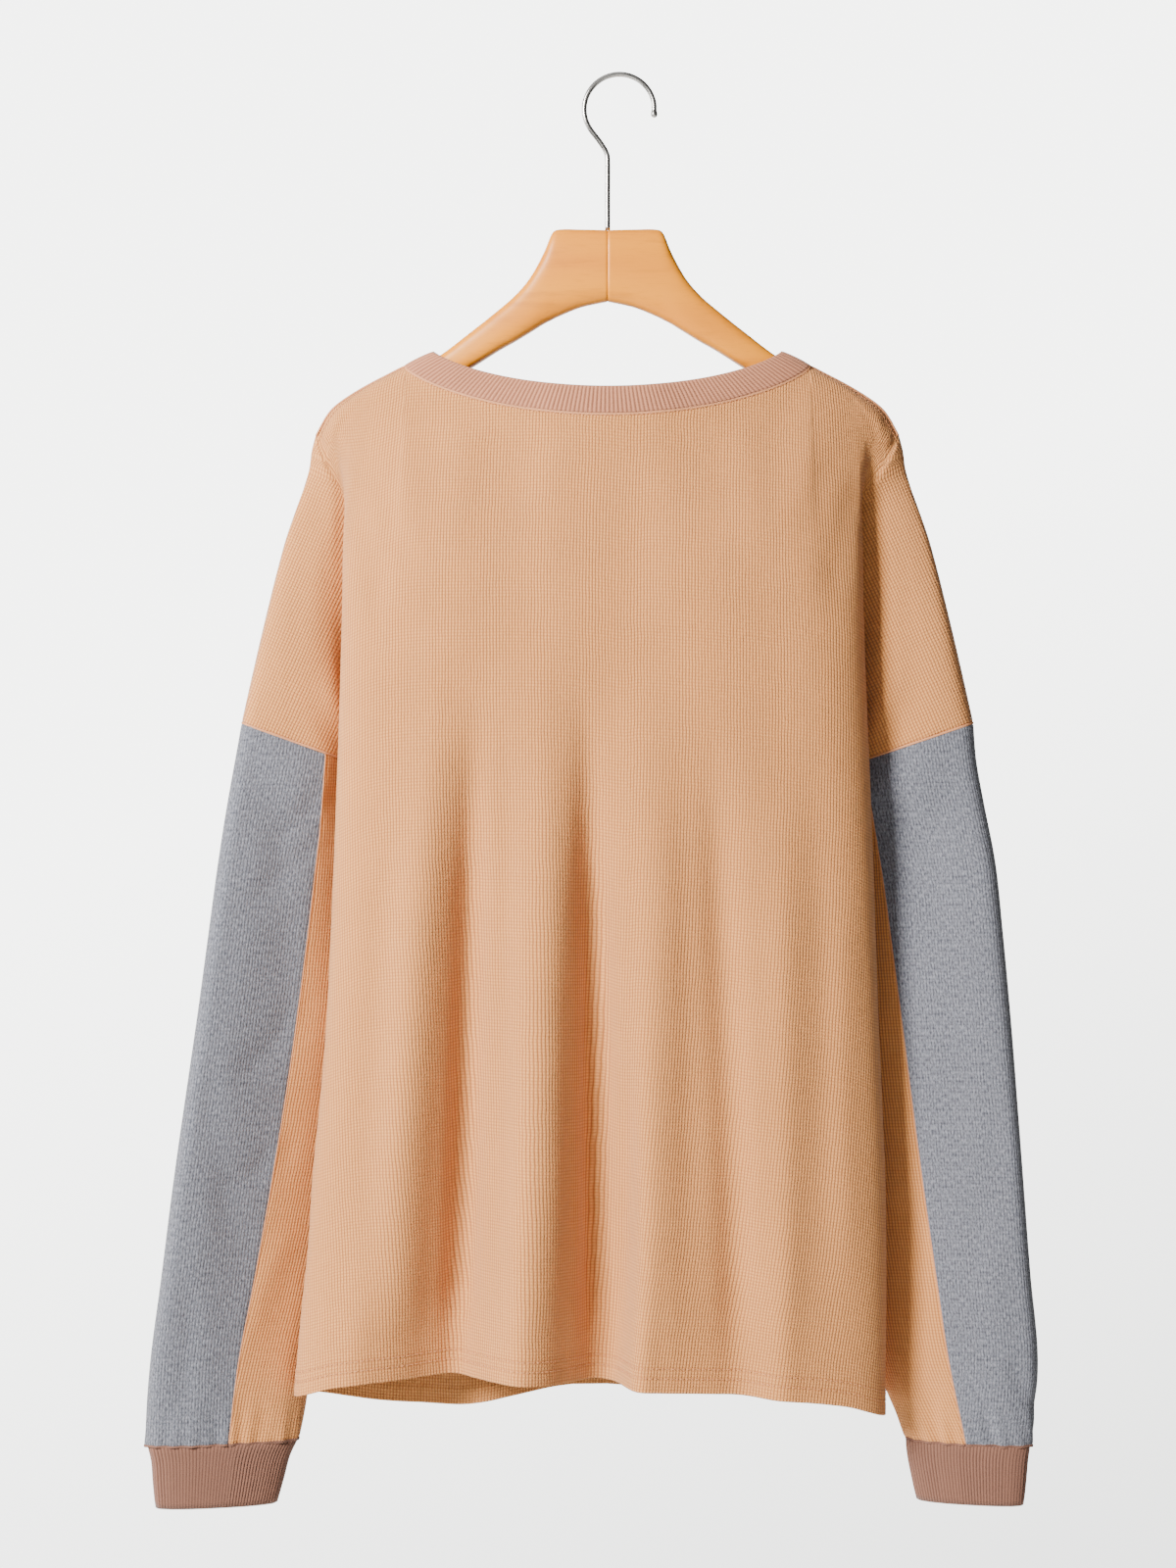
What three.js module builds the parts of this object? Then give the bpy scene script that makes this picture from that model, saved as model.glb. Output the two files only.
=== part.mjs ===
// A long-sleeved henley shirt hanging on a contoured wooden hanger.
// Millimetres, +Z up. The origin is the inside top of the hanger's hook. The shirt's back faces -Y
// and its front faces +Y, so the wearer's left is at -X.
import * as THREE from "three";

// Driving dimensions of the cloth
const WALL = 1.4; // one layer of waffle knit
const THIN_WALL = 1; // the same, stretched
const HEM_WALL = 2.4; // hem and turned edges, two layers
const HEM_STEP = 0.4; // the part of it that stands out on the outer side
const HEM_HEIGHT = 20;
const SEAM_GAP = 0.3; // between pieces that are sewn to each other
const ARMPIT_Z = -465;
const FOLD_TOP_Z = -234; // where the fold beside the arm leaves the shoulder line
const TIP_Z = -428; // outer end of the armhole seam
const CUFF_SEAM_Z = -909;
const OVAL = 3; // exponent of the body's flattened oval
const SIDE_SEAM_ARMPIT = 46; // degrees round the oval, from the side edge towards the front
const SIDE_SEAM_HEM = 8;

// Driving dimensions of the neck
const NECK_HALF = 135.5; // half the neck's width at the seam, on the shoulder line
const BAND_HALF = 115.5; // the same at the neckband's top edge
const NECK_POINT_Z = -190.5;
const BAND_POINT_Z = -181.4;
const NECK_DROP_BACK = 35;
const NECK_DROP_FRONT = 74;
const BAND_DROP_BACK = 26;
const BAND_DROP_FRONT = 64;
const BAND_WALL = 1.8; // of the neckband and the cuffs
const BAND_LIFT = 0.4; // the part of it that stands out from the cloth beside it
const NECK_RIB = { pitch: 2.7, height: 0.5 };

// Driving dimensions of the hanger and hook
const SHAFT_X = -7.8; // the hook's shaft, the garment's middle, beside the hang point
const ARM_SWEEP = 24; // how far the hanger's arms curve forward at their ends
const ARM_LENGTH = 186;
const ARM_HALF_DEPTH = 9;
const WIRE_RADIUS = 1.7;
const HOOK_RADIUS = 23.3;

const CUFF_RIB = { count: 96, height: 0.45 };
const PLACKET = { width: 24, overlap: 2.5, endOverlap: 5, wall: 1.5, between: 0.5, sunk: 0.1 };
const BUTTON = { radius: 5.6, thick: 2.4, lift: 0.6, count: 3, fromTop: 16, fromBottom: 22 };

const FINISHES = {
  tan: { color: 0xdbb292, roughness: 0.95, metalness: 0 },
  grey: { color: 0x8f9096, roughness: 0.95, metalness: 0 },
  rib: { color: 0xb98f79, roughness: 0.95, metalness: 0 },
  wood: { color: 0xe0a76d, roughness: 0.45, metalness: 0 },
  metal: { color: 0x8d8a86, roughness: 0.3, metalness: 1 },
  button: { color: 0xc9a184, roughness: 0.35, metalness: 0 },
};

// The body's oval at a height: side edges, middle, and half depths to the back and the front
const BODY = [
  { z: -234, left: -176, right: 170, mid: 14, back: 38, front: 22 },
  { z: -350, left: -176, right: 170, mid: 8, back: 41, front: 31 },
  { z: -465, left: -179, right: 174, mid: 4, back: 42, front: 40 },
  { z: -637, left: -187, right: 180, mid: 4, back: 43, front: 40 },
  { z: -716, left: -195, right: 184, mid: 5, back: 44, front: 40 },
  { z: -768, left: -198, right: 185, mid: 6, back: 45, front: 40 },
  { z: -846, left: -206, right: 184.5, mid: 8, back: 46, front: 39 },
  { z: -890, left: -209, right: 184, mid: 8, back: 46, front: 38 },
];

// The shoulder line as seen from behind: height at each distance from the middle, then the fall
const CREST = [
  { x: 0, z: -100 },
  { x: 36, z: -102 },
  { x: 51, z: -131 },
  { x: 71.5, z: -152 },
  { x: 94, z: -169 },
  { x: 115.5, z: -181 },
  { x: 137, z: -191 },
  { x: 162, z: -203 },
  { x: 181, z: -214 },
  { x: 193, z: -226 },
];
const FALL = [
  { z: -226, x: 193 },
  { z: -242, x: 198 },
  { z: -261, x: 201 },
  { z: -306, x: 216 },
  { z: -371, x: 232 },
  { z: -428, x: 244.5 },
];

// Height of the lower edge of the back and of the front
const BACK_HEM = [
  { x: -209, z: -875 },
  { x: -175, z: -864 },
  { x: -105, z: -860 },
  { x: 0, z: -864 },
  { x: 96, z: -870 },
  { x: 156, z: -877 },
  { x: 184, z: -887 },
];
const FRONT_HEM = [
  { x: -209, z: -875 },
  { x: -150, z: -886 },
  { x: -100, z: -887 },
  { x: -60, z: -881 },
  { x: 0, z: -874 },
  { x: 100, z: -876 },
  { x: 184, z: -887 },
];

// Long folds of the back: x of each crest and trough at a height, from left to right
const BACK_FOLDS = [
  { z: -390, crest1: -118, trough1: -88, crest2: -50, trough2: -16, crest3: 22, trough3: 52, crest4: 92 },
  { z: -500, crest1: -124, trough1: -89, crest2: -46, trough2: -9, crest3: 23, trough3: 62, crest4: 104 },
  { z: -664, crest1: -140, trough1: -90, crest2: -47, trough2: 0, crest3: 23, trough3: 74, crest4: 110 },
  { z: -793, crest1: -162, trough1: -99, crest2: -53, trough2: 3, crest3: 22, trough3: 85, crest4: 112 },
  { z: -875, crest1: -178, trough1: -109, crest2: -58, trough2: 0, crest3: 17, trough3: 89, crest4: 107 },
];
const BACK_DEPTH = { trough1: 36, trough2: 40, trough3: 11 };
// Folds of the front, softer
const FRONT_FOLDS = [
  { z: -440, crest1: -105, trough1: -62, crest2: -22, trough2: 30, crest3: 78, trough3: 110, crest4: 140 },
  { z: -875, crest1: -135, trough1: -84, crest2: -30, trough2: 36, crest3: 84, trough3: 126, crest4: 155 },
];
const FRONT_DEPTH = { trough1: 17, trough2: 21, trough3: 10 };
const FOLD_START = -371;
const FOLD_END = -875;

// Sleeve sections: inner and outer edge (distance from the middle and y), and half depth
const SLEEVES = {
  left: [
    { z: -428, inX: 140, outX: 244.5, inY: 36, outY: 15, deep: 15 },
    { z: -465, inX: 140, outX: 250.5, inY: 36, outY: 11, deep: 16 },
    { z: -508, inX: 141, outX: 256.8, inY: 47, outY: 6, deep: 17 },
    { z: -612, inX: 152, outX: 270.4, inY: 50, outY: 0, deep: 17 },
    { z: -716, inX: 168, outX: 285.4, inY: 50, outY: -2, deep: 17 },
    { z: -820, inX: 190, outX: 299.5, inY: 44, outY: 0, deep: 16.5 },
    { z: -872, inX: 202, outX: 307, inY: 36, outY: 4, deep: 16 },
    { z: -909, inX: 207, outX: 309.5, inY: 30, outY: 8, deep: 14 },
  ],
  right: [
    { z: -428, inX: 140, outX: 244.5, inY: 36, outY: 15, deep: 15 },
    { z: -465, inX: 140, outX: 247.5, inY: 36, outY: 11, deep: 16 },
    { z: -508, inX: 140, outX: 256.5, inY: 47, outY: 6, deep: 17 },
    { z: -612, inX: 147, outX: 266.5, inY: 50, outY: 0, deep: 17 },
    { z: -716, inX: 158, outX: 274.5, inY: 50, outY: -2, deep: 17 },
    { z: -820, inX: 174, outX: 283, inY: 44, outY: 0, deep: 16.5 },
    { z: -872, inX: 184, outX: 287.5, inY: 36, outY: 4, deep: 16 },
    { z: -909, inX: 201, outX: 284, inY: 30, outY: 8, deep: 14 },
  ],
};
const CUFFS = {
  left: [
    { z: -909, inX: 208, outX: 306, inY: 30, outY: 8, deep: 13 },
    { z: -918, inX: 213, outX: 303.5, inY: 29, outY: 9, deep: 12.5 },
    { z: -951, inX: 222, outX: 301, inY: 27, outY: 11, deep: 12 },
  ],
  right: [
    { z: -909, inX: 201, outX: 281, inY: 30, outY: 8, deep: 13 },
    { z: -918, inX: 202, outX: 279.5, inY: 29, outY: 9, deep: 12.5 },
    { z: -949, inX: 208, outX: 277, inY: 27, outY: 11, deep: 12 },
  ],
};
const SIDE_SIGN = { left: -1, right: 1 };
// Where the grey outer panel meets the tan under panel, as a share of the sleeve's width
const PANEL_SEAM = {
  left: [{ z: -428, share: 0.45 }, { z: -909, share: 0.44 }],
  right: [{ z: -428, share: 0.33 }, { z: -650, share: 0.41 }, { z: -909, share: 0.45 }],
};

// Hanger arm: upper and lower edge at each distance from the middle
const ARM = [
  { x: 0, top: -102, bottom: -149 },
  { x: 18, top: -101.5, bottom: -153 },
  { x: 33, top: -101.5, bottom: -159 },
  { x: 37, top: -104, bottom: -161 },
  { x: 42, top: -116, bottom: -163.5 },
  { x: 51, top: -132.5, bottom: -169 },
  { x: 61, top: -144.5, bottom: -175 },
  { x: 72, top: -154, bottom: -181 },
  { x: 90, top: -168, bottom: -192 },
  { x: 115, top: -186, bottom: -206 },
  { x: 145, top: -200, bottom: -220 },
  { x: 166, top: -210, bottom: -230 },
  { x: 179, top: -219.5, bottom: -236 },
];

// Small helpers
const mix = (a, b, t) => a + (b - a) * t;
const clamp01 = (t) => Math.min(1, Math.max(0, t));
const smooth = (t) => clamp01(t) ** 2 * (3 - 2 * clamp01(t));
const rad = (deg) => (deg * Math.PI) / 180;
const minus = (a, b) => a.map((v, i) => v - b[i]);
const plus = (a, b) => a.map((v, i) => v + b[i]);
const times = (a, k) => a.map((v) => v * k);
const cross = (a, b) => [
  a[1] * b[2] - a[2] * b[1],
  a[2] * b[0] - a[0] * b[2],
  a[0] * b[1] - a[1] * b[0],
];
const dot = (a, b) => a[0] * b[0] + a[1] * b[1] + a[2] * b[2];
const unit = (a) => times(a, 1 / (Math.hypot(...a) || 1));
const angleBetween = (a, b) => Math.acos(Math.min(1, Math.max(-1, dot(unit(a), unit(b)))));
const mixPoint = (a, b, t) => a.map((v, i) => mix(v, b[i], t));

// Value of a table's column at a place, on a smooth curve through its rows
function along(table, axis, column, at) {
  const up = table[table.length - 1][axis] > table[0][axis];
  const place = (i) => (up ? table[i][axis] : -table[i][axis]);
  const u = up ? at : -at;
  if (u <= place(0)) return table[0][column];
  const last = table.length - 1;
  if (u >= place(last)) return table[last][column];
  let i = 0;
  while (u > place(i + 1)) i += 1;
  const slope = (k) => {
    const a = Math.max(0, k - 1);
    const b = Math.min(last, k + 1);
    return (table[b][column] - table[a][column]) / (place(b) - place(a));
  };
  const h = place(i + 1) - place(i);
  const t = (u - place(i)) / h;
  return (
    (1 + 2 * t) * (1 - t) ** 2 * table[i][column] +
    t * (1 - t) ** 2 * h * slope(i) +
    t * t * (3 - 2 * t) * table[i + 1][column] +
    t * t * (t - 1) * h * slope(i + 1)
  );
}

// Cloth surfaces

const armSweep = (x) => ARM_SWEEP * (x / ARM_LENGTH) ** 2;
const crestZ = (x) => along(CREST, "x", "z", Math.abs(x));
const fallX = (z) => along(FALL, "z", "x", z);
const fallY = (z) => {
  return mix(armSweep(fallX(FOLD_TOP_Z)), SLEEVES.left[0].outY, (FOLD_TOP_Z - z) / (FOLD_TOP_Z - TIP_Z));
};

// How far a point lies inside the shoulder line, measured down and sideways; above the line's
// fall the sideways distance is widened, so that only the distance down counts there
const CREST_WIDENING = 3;
function dropAt(x, z) {
  const down = crestZ(x) - z;
  const inward = fallX(z) - Math.abs(x) + CREST_WIDENING * Math.max(0, z - FALL[0].z);
  return down <= 0 || inward <= 0 ? 0 : (down * inward) / (down + inward);
}

// How far the cloth stands off the shoulder line's plane, at a drop below the line: it rounds the
// hanger's arm and then slopes outwards
const OVER_ARM = { depth: 11.8, rounding: 6, slope: 0.11 };
const tent = (drop) => {
  return OVER_ARM.depth * Math.sqrt(1 - Math.exp(-drop / OVER_ARM.rounding)) + OVER_ARM.slope * drop;
};
const tentY = (face, x, z) => armSweep(x) + face * tent(dropAt(x, z));

// y of the folds' profile: zero on the crests, full depth in the troughs
function foldDepth(folds, depth, x, z) {
  const grow = clamp01((FOLD_START - z) / (FOLD_START - FOLD_END)) ** 1.15;
  const at = (name) => along(folds, "z", name, z);
  const line = [[at("crest1"), 0]];
  for (const k of [1, 2, 3]) {
    line.push([at(`trough${k}`), depth[`trough${k}`]], [at(`crest${k + 1}`), 0]);
  }
  if (x <= line[0][0] || x >= line[line.length - 1][0]) return 0;
  let i = 0;
  while (x > line[i + 1][0]) i += 1;
  const t = (x - line[i][0]) / (line[i + 1][0] - line[i][0]);
  return grow * mix(line[i][1], line[i + 1][1], smooth(t));
}

function oval(z) {
  const get = (column) => along(BODY, "z", column, z);
  const [left, right] = [get("left"), get("right")];
  return {
    centre: (left + right) / 2,
    half: (right - left) / 2,
    mid: get("mid"),
    back: get("back"),
    front: get("front"),
  };
}

// Point on the body's oval: face -1 is the back and 1 the front; side -1 is left and 1 right;
// angle is in degrees from the side edge, and turns past the edge when it is negative
function ovalPoint(z, face, side, angle) {
  const o = oval(z);
  const way = angle < 0 ? -face : face;
  const a = rad(Math.abs(angle));
  const depth = way < 0 ? o.back : o.front;
  const x = o.centre + side * o.half * Math.cos(a) ** (2 / OVAL);
  const inset = Math.sin(a) ** (2 / OVAL);
  const [folds, depths] = way < 0 ? [BACK_FOLDS, BACK_DEPTH] : [FRONT_FOLDS, FRONT_DEPTH];
  return [x, o.mid + way * inset * (depth - foldDepth(folds, depths, x, z)), z];
}

// y of the oval's front at x, for what has to stay clear of it
function frontY(x, z) {
  const o = oval(z);
  const u = Math.abs(x - o.centre) / o.half;
  return u >= 1 ? -Infinity : o.mid + o.front * (1 - u ** OVAL) ** (1 / OVAL);
}

// Columns of a panel, from the left side to the right one. On the back a column's angle is fixed on
// the oval, past the side edge where it is a share of the side seam's; on the front it is a share of
// the stretch from the side seam to the neck point's column.
const BACK_COLUMNS = [
  { seamShare: 1, topX: 195.5, reach: 0.22, reachY: 0.22, even: 1 },
  { seamShare: 0.5, topX: 188, reach: 0.23, reachY: 0.27, even: 1 },
  { angle: 0, topX: 180, reach: 0.3, reachY: 0.35, even: 0.6 },
  { angle: 7, topX: 169, reach: 0.4, reachY: 0.42, even: 0.3 },
  { angle: 16, topX: 158, reach: 0.5, reachY: 0.5, even: 0 },
  { angle: 26, topX: 147, reach: 0.65, reachY: 0.5, even: 0 },
];
const FRONT_COLUMNS = BACK_COLUMNS.map(({ topX, reach, reachY, even }, i) => ({
  share: i / BACK_COLUMNS.length,
  topX,
  reach,
  reachY,
  even,
}));
const NECK_ANGLES = {
  back: [0, 8, 16, 25, 34, 42, 50, 58, 66, 74, 82, 90],
  front: [0, 8, 16, 27, 38, 49, 60, 72, 84.92],
};
const NECK_COLUMN_ANGLE = { back: 36.4, front: 58 }; // on the oval, below the neck point
// Rows from the top edge to the armpit, close together over the shoulder, and evenly at the side
const ROWS = [0, 0.012, 0.035, 0.08, 0.15, 0.25, 0.37, 0.5, 0.64, 0.82, 1];
const EVEN_ROWS = [0, 0.05, 0.11, 0.18, 0.26, 0.36, 0.47, 0.58, 0.7, 0.85, 1];
const PLACKET_ROW = 8; // the placket ends on this row
const THIN_ROWS = 2; // beside the folds' upper ends the wall is stretched thin, down to this row
const LOWER_ROWS = [0.12, 0.25, 0.38, 0.51, 0.64, 0.76, 0.87];
const HEM_STEP_SHARE = 0.002; // of the height below the armpit, that the hem's step takes

const FIRST_PLACKET_COLUMN = FRONT_COLUMNS.length + NECK_ANGLES.front.length - 1;

const nameOf = (face) => (face < 0 ? "back" : "front");

// Neck seam, or the neckband's top edge, as a point on the cloth at an angle from the shoulder line
function neckPoint(face, side, angle, edge) {
  const isBand = edge === "band";
  const half = isBand ? BAND_HALF : NECK_HALF;
  const dropBack = isBand ? BAND_DROP_BACK : NECK_DROP_BACK;
  const dropFront = isBand ? BAND_DROP_FRONT : NECK_DROP_FRONT;
  const x = half * Math.cos(rad(angle));
  const sine = Math.sin(rad(angle));
  const drop = face < 0 ? dropBack * sine ** 1.5 : dropFront * sine ** 1.25;
  const z = (isBand ? BAND_POINT_Z : NECK_POINT_Z) - drop;
  return [side * x, tentY(face, x, z), z];
}

function columnsOf(face) {
  const name = nameOf(face);
  const half = (face < 0 ? BACK_COLUMNS : FRONT_COLUMNS).map((c) => ({ ...c }));
  const neck = NECK_ANGLES[name];
  const middle = face < 0 ? 0 : PLACKET.width / 2;
  neck.forEach((angle, i) => {
    half.push({ neck: angle, across: i / (neck.length - 1), middle, reach: 0.8, reachY: 0.5, even: 0 });
  });
  const left = half.map((c) => ({ ...c, side: -1 }));
  const right = half.map((c) => ({ ...c, side: 1 })).reverse();
  return face < 0 ? [...left, ...right.slice(1)] : [...left, ...right];
}

// Point of a column on the body's oval at a height; seam is the side seam's or fold's angle there
function ringPoint(face, column, z, seam) {
  const neckAngle = NECK_COLUMN_ANGLE[nameOf(face)];
  if (column.neck !== undefined) {
    const o = oval(z);
    const outer = o.half * Math.cos(rad(neckAngle)) ** (2 / OVAL);
    const reach = mix(outer, column.middle, column.across);
    const angle = (Math.acos((reach / o.half) ** (OVAL / 2)) * 180) / Math.PI;
    return ovalPoint(z, face, column.side, angle);
  }
  if (face > 0) return ovalPoint(z, face, column.side, mix(seam, neckAngle, column.share));
  const angle = column.seamShare === undefined ? column.angle : -seam * column.seamShare;
  return ovalPoint(z, face, column.side, angle);
}

// Angle of the fold between body and sleeve, a share t of the way down to the armpit; at the back it
// keeps its first angle down to a share, and then turns to the front, slowly at first
const FOLD_ANGLE = { back: 9, front: 30, turnsFrom: 0.22, slowness: 1.7 };
function foldAngle(face, t) {
  if (face > 0) return mix(FOLD_ANGLE.front, SIDE_SEAM_ARMPIT, smooth(t));
  const turned = clamp01((t - FOLD_ANGLE.turnsFrom) / (1 - FOLD_ANGLE.turnsFrom));
  return mix(FOLD_ANGLE.back, SIDE_SEAM_ARMPIT, turned ** FOLD_ANGLE.slowness);
}

// Point above the armpit's level; row counts from the top edge
function upperPoint(face, column, row) {
  const t = mix(ROWS[row], EVEN_ROWS[row], column.even);
  let top;
  if (column.neck === undefined) {
    const x = column.topX;
    top = [column.side * x, 0, x > CREST[CREST.length - 1].x ? FOLD_TOP_Z : crestZ(x)];
  } else {
    top = neckPoint(face, column.side, column.neck, "seam");
  }
  const z = mix(top[2], ARMPIT_Z, t);
  const below = ringPoint(face, column, mix(FOLD_TOP_Z, ARMPIT_Z, t), foldAngle(face, t));
  const x = mix(top[0], below[0], smooth(t / column.reach));
  const y = mix(tentY(face, x, z), below[1], smooth(t / column.reachY));
  return [x, y, z];
}

// Point below the armpit's level; r runs from 0 there to 1 at the hem. The side seam reaches its
// place at the hem a little above it.
const HEM_MIDDLE_Z = -870;
const SEAM_HASTE = 1.1;
function lowerPoint(face, column, r) {
  const seam = mix(SIDE_SEAM_ARMPIT, SIDE_SEAM_HEM, smooth(r * SEAM_HASTE));
  const guess = ringPoint(face, column, HEM_MIDDLE_Z, seam);
  const isSeam = column.share === 0;
  const hem = along(face < 0 || isSeam ? BACK_HEM : FRONT_HEM, "x", "z", guess[0]);
  return ringPoint(face, column, mix(ARMPIT_Z, hem, r), seam);
}

// Cross-section of a sleeve or of the shoulder beside the body: from its inner to its outer edge.
// It stays in front of the body, the more so away from the inner edge.
const LENS = 2.4; // exponent of the section's rounding
const CLEARANCE = { full: 6, within: 18, frontDepth: 12, edge: 1 };
const bulge = (s) => (1 - Math.abs(2 * s - 1) ** LENS) ** (1 / LENS);
function lensPoint(inner, outer, deep, face, s) {
  if (s === 0) return [...inner];
  const p = mixPoint(inner, outer, s);
  p[1] += face * deep * bulge(s);
  const away = Math.hypot(p[0] - inner[0], p[1] - inner[1]);
  let clear = CLEARANCE.full * Math.min(1, away / CLEARANCE.within);
  if (face > 0) clear += Math.min(deep, CLEARANCE.frontDepth) * bulge(s);
  return [p[0], Math.max(p[1], frontY(p[0], p[2]) + clear), p[2]];
}

// Stations across a sleeve: the under panel up to its seam, then the outer panel
const UNDER = [0, 0.22, 0.62, 1];
const OUTER = [0, 0.36, 0.72, 0.93, 1];
function stations(side, z) {
  const seam = along(PANEL_SEAM[side], "z", "share", z);
  return [...UNDER.map((u) => u * seam), ...OUTER.slice(1).map((u) => mix(seam, 1, u))];
}

// Half depth of the shoulder's part beside the body: at its top, and growing over a share of it
const CAP_DEPTH = { top: 3, growsFrom: 0.08, growsOver: 0.7 };
const capDepth = (t) => {
  const grown = smooth((t - CAP_DEPTH.growsFrom) / CAP_DEPTH.growsOver);
  return mix(CAP_DEPTH.top, SLEEVES.left[0].deep, grown);
};

// The shoulder's part beside the body, from the fold out to the shoulder line's fall
const CAP_START = { slope: 0.15, radius: 30 }; // how it leaves the fold, at the back
function capPoint(face, side, inner, row, s) {
  const t = EVEN_ROWS[row];
  const z = mix(FOLD_TOP_Z, TIP_Z, t);
  const outer = [SIDE_SIGN[side] * fallX(z), fallY(z), z];
  const [x, y, pointZ] = lensPoint(inner, outer, capDepth(t), face, s);
  if (face > 0) return [x, y, pointZ];
  // at the back it leaves the fold sideways, so that the fold stays open
  const away = Math.hypot(x - inner[0], y - inner[1]);
  const furthestBack = inner[1] - CAP_START.slope * away - away ** 2 / (2 * CAP_START.radius);
  return [x, Math.max(y, furthestBack), pointZ];
}

function armpit(side) {
  return ovalPoint(ARMPIT_Z, 1, SIDE_SIGN[side], SIDE_SEAM_ARMPIT);
}

function edgeOf(table, side, which, z) {
  return [SIDE_SIGN[side] * along(table, "z", `${which}X`, z), along(table, "z", `${which}Y`, z), z];
}

// Point of a sleeve; r runs from 0 at the armhole to 1 at the cuff's seam. Its inner edge leaves the
// armpit over a short share.
const ARMPIT_SHARE = 0.12;
function sleevePoint(side, face, s, r) {
  const table = SLEEVES[side];
  const outer = edgeOf(table, side, "out", mix(TIP_Z, CUFF_SEAM_Z, r));
  const inner = edgeOf(table, side, "in", mix(ARMPIT_Z, CUFF_SEAM_Z, r));
  const from = mixPoint(armpit(side), inner, smooth(r / ARMPIT_SHARE));
  from[2] = inner[2];
  if (r > 0) from[1] = Math.max(from[1], frontY(from[0], from[2]) + CLEARANCE.edge);
  const deep = along(table, "z", "deep", outer[2]);
  return lensPoint(from, outer, deep, face, s);
}

// Closed solids

// A sheet of cloth: points on its outer side, triangles that face out, and its wall's thickness
class Sheet {
  constructor(name, colour, wall = WALL) {
    this.name = name;
    this.colour = colour;
    this.wall = wall;
    this.isPanel = name === "back" || name === "front";
    this.points = [];
    this.walls = [];
    this.lifts = [];
    this.triangles = [];
    this.ids = new Map();
  }

  point(p, wall = this.wall, lift = 0) {
    const key = p.map((v) => Math.round(v * 1e4)).join();
    if (!this.ids.has(key)) {
      this.ids.set(key, this.points.length);
      this.points.push(p);
      this.walls.push(wall);
      this.lifts.push(lift);
    }
    return this.ids.get(key);
  }

  triangle(a, b, c) {
    if (a !== b && b !== c && c !== a) this.triangles.push([a, b, c]);
  }

  quad(a, b, c, d) {
    const across = (i, j) => Math.hypot(...minus(this.points[i], this.points[j]));
    if (across(a, c) <= across(b, d)) {
      this.triangle(a, b, c);
      this.triangle(a, c, d);
    } else {
      this.triangle(a, b, d);
      this.triangle(b, c, d);
    }
  }

  // rows of point ids, each running the same way; flip turns the faces round
  grid(rows, flip, skip = () => false) {
    for (let i = 0; i + 1 < rows.length; i += 1) {
      for (let j = 0; j + 1 < rows[i].length; j += 1) {
        if (skip(i, j)) continue;
        const [a, b, c, d] = [rows[i][j], rows[i][j + 1], rows[i + 1][j + 1], rows[i + 1][j]];
        if (flip) this.quad(d, c, b, a);
        else this.quad(a, b, c, d);
      }
    }
  }

  // what lies round each point: its triangles' normals, weighted by their corner, and the way inward
  look() {
    this.round = this.points.map(() => []);
    this.inward = this.points.map(() => [0, 0, 0]);
    for (const ids of this.triangles) {
      const corners = ids.map((i) => this.points[i]);
      const normal = unit(cross(minus(corners[1], corners[0]), minus(corners[2], corners[0])));
      ids.forEach((id, k) => {
        const [a, b] = [1, 2].map((step) => minus(corners[(k + step) % 3], corners[k]));
        this.round[id].push({ normal, weight: angleBetween(a, b) });
        this.inward[id] = plus(this.inward[id], plus(a, b));
      });
    }
  }
}

// Offset that keeps one wall's thickness from each triangle round a point, as far as it may go
const LONGEST_OFFSET = 1.05; // walls
const EVENNESS = 0.03; // draws the offset of nearly parallel triangles to their mean normal
function offset(round, wall) {
  const m = new Array(9).fill(0);
  const sum = [0, 0, 0];
  for (const { normal, weight } of round) {
    for (let i = 0; i < 3; i += 1) {
      sum[i] += weight * wall * normal[i];
      for (let k = 0; k < 3; k += 1) m[3 * i + k] += weight * normal[i] * normal[k];
    }
  }
  for (const i of [0, 4, 8]) m[i] += EVENNESS;
  const way = new THREE.Vector3(...sum).applyMatrix3(new THREE.Matrix3().set(...m).invert());
  return way.clampLength(0, LONGEST_OFFSET * wall).toArray();
}

// Turns a sheet's sides and edges into one closed body
function closedBody(outer, inner, triangles) {
  const open = new Map();
  for (const t of triangles) {
    t.forEach((a, k) => {
      const b = t[(k + 1) % 3];
      if (!open.delete(`${b},${a}`)) open.set(`${a},${b}`, [a, b]);
    });
  }
  const n = outer.length;
  const faces = [];
  for (const [a, b, c] of triangles) faces.push([a, b, c], [c + n, b + n, a + n]);
  for (const [a, b] of open.values()) faces.push([b, a, a + n], [b, a + n, b + n]);
  return { points: [...outer, ...inner], faces };
}

function meshOf(name, colour, body) {
  const geometry = new THREE.BufferGeometry();
  geometry.setAttribute("position", new THREE.Float32BufferAttribute(body.points.flat(), 3));
  geometry.setIndex(body.faces.flat());
  geometry.computeVertexNormals();
  return named(name, colour, geometry);
}

function named(name, colour, geometry) {
  const mesh = new THREE.Mesh(geometry, new THREE.MeshStandardMaterial(FINISHES[colour]));
  mesh.name = name;
  return mesh;
}

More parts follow.
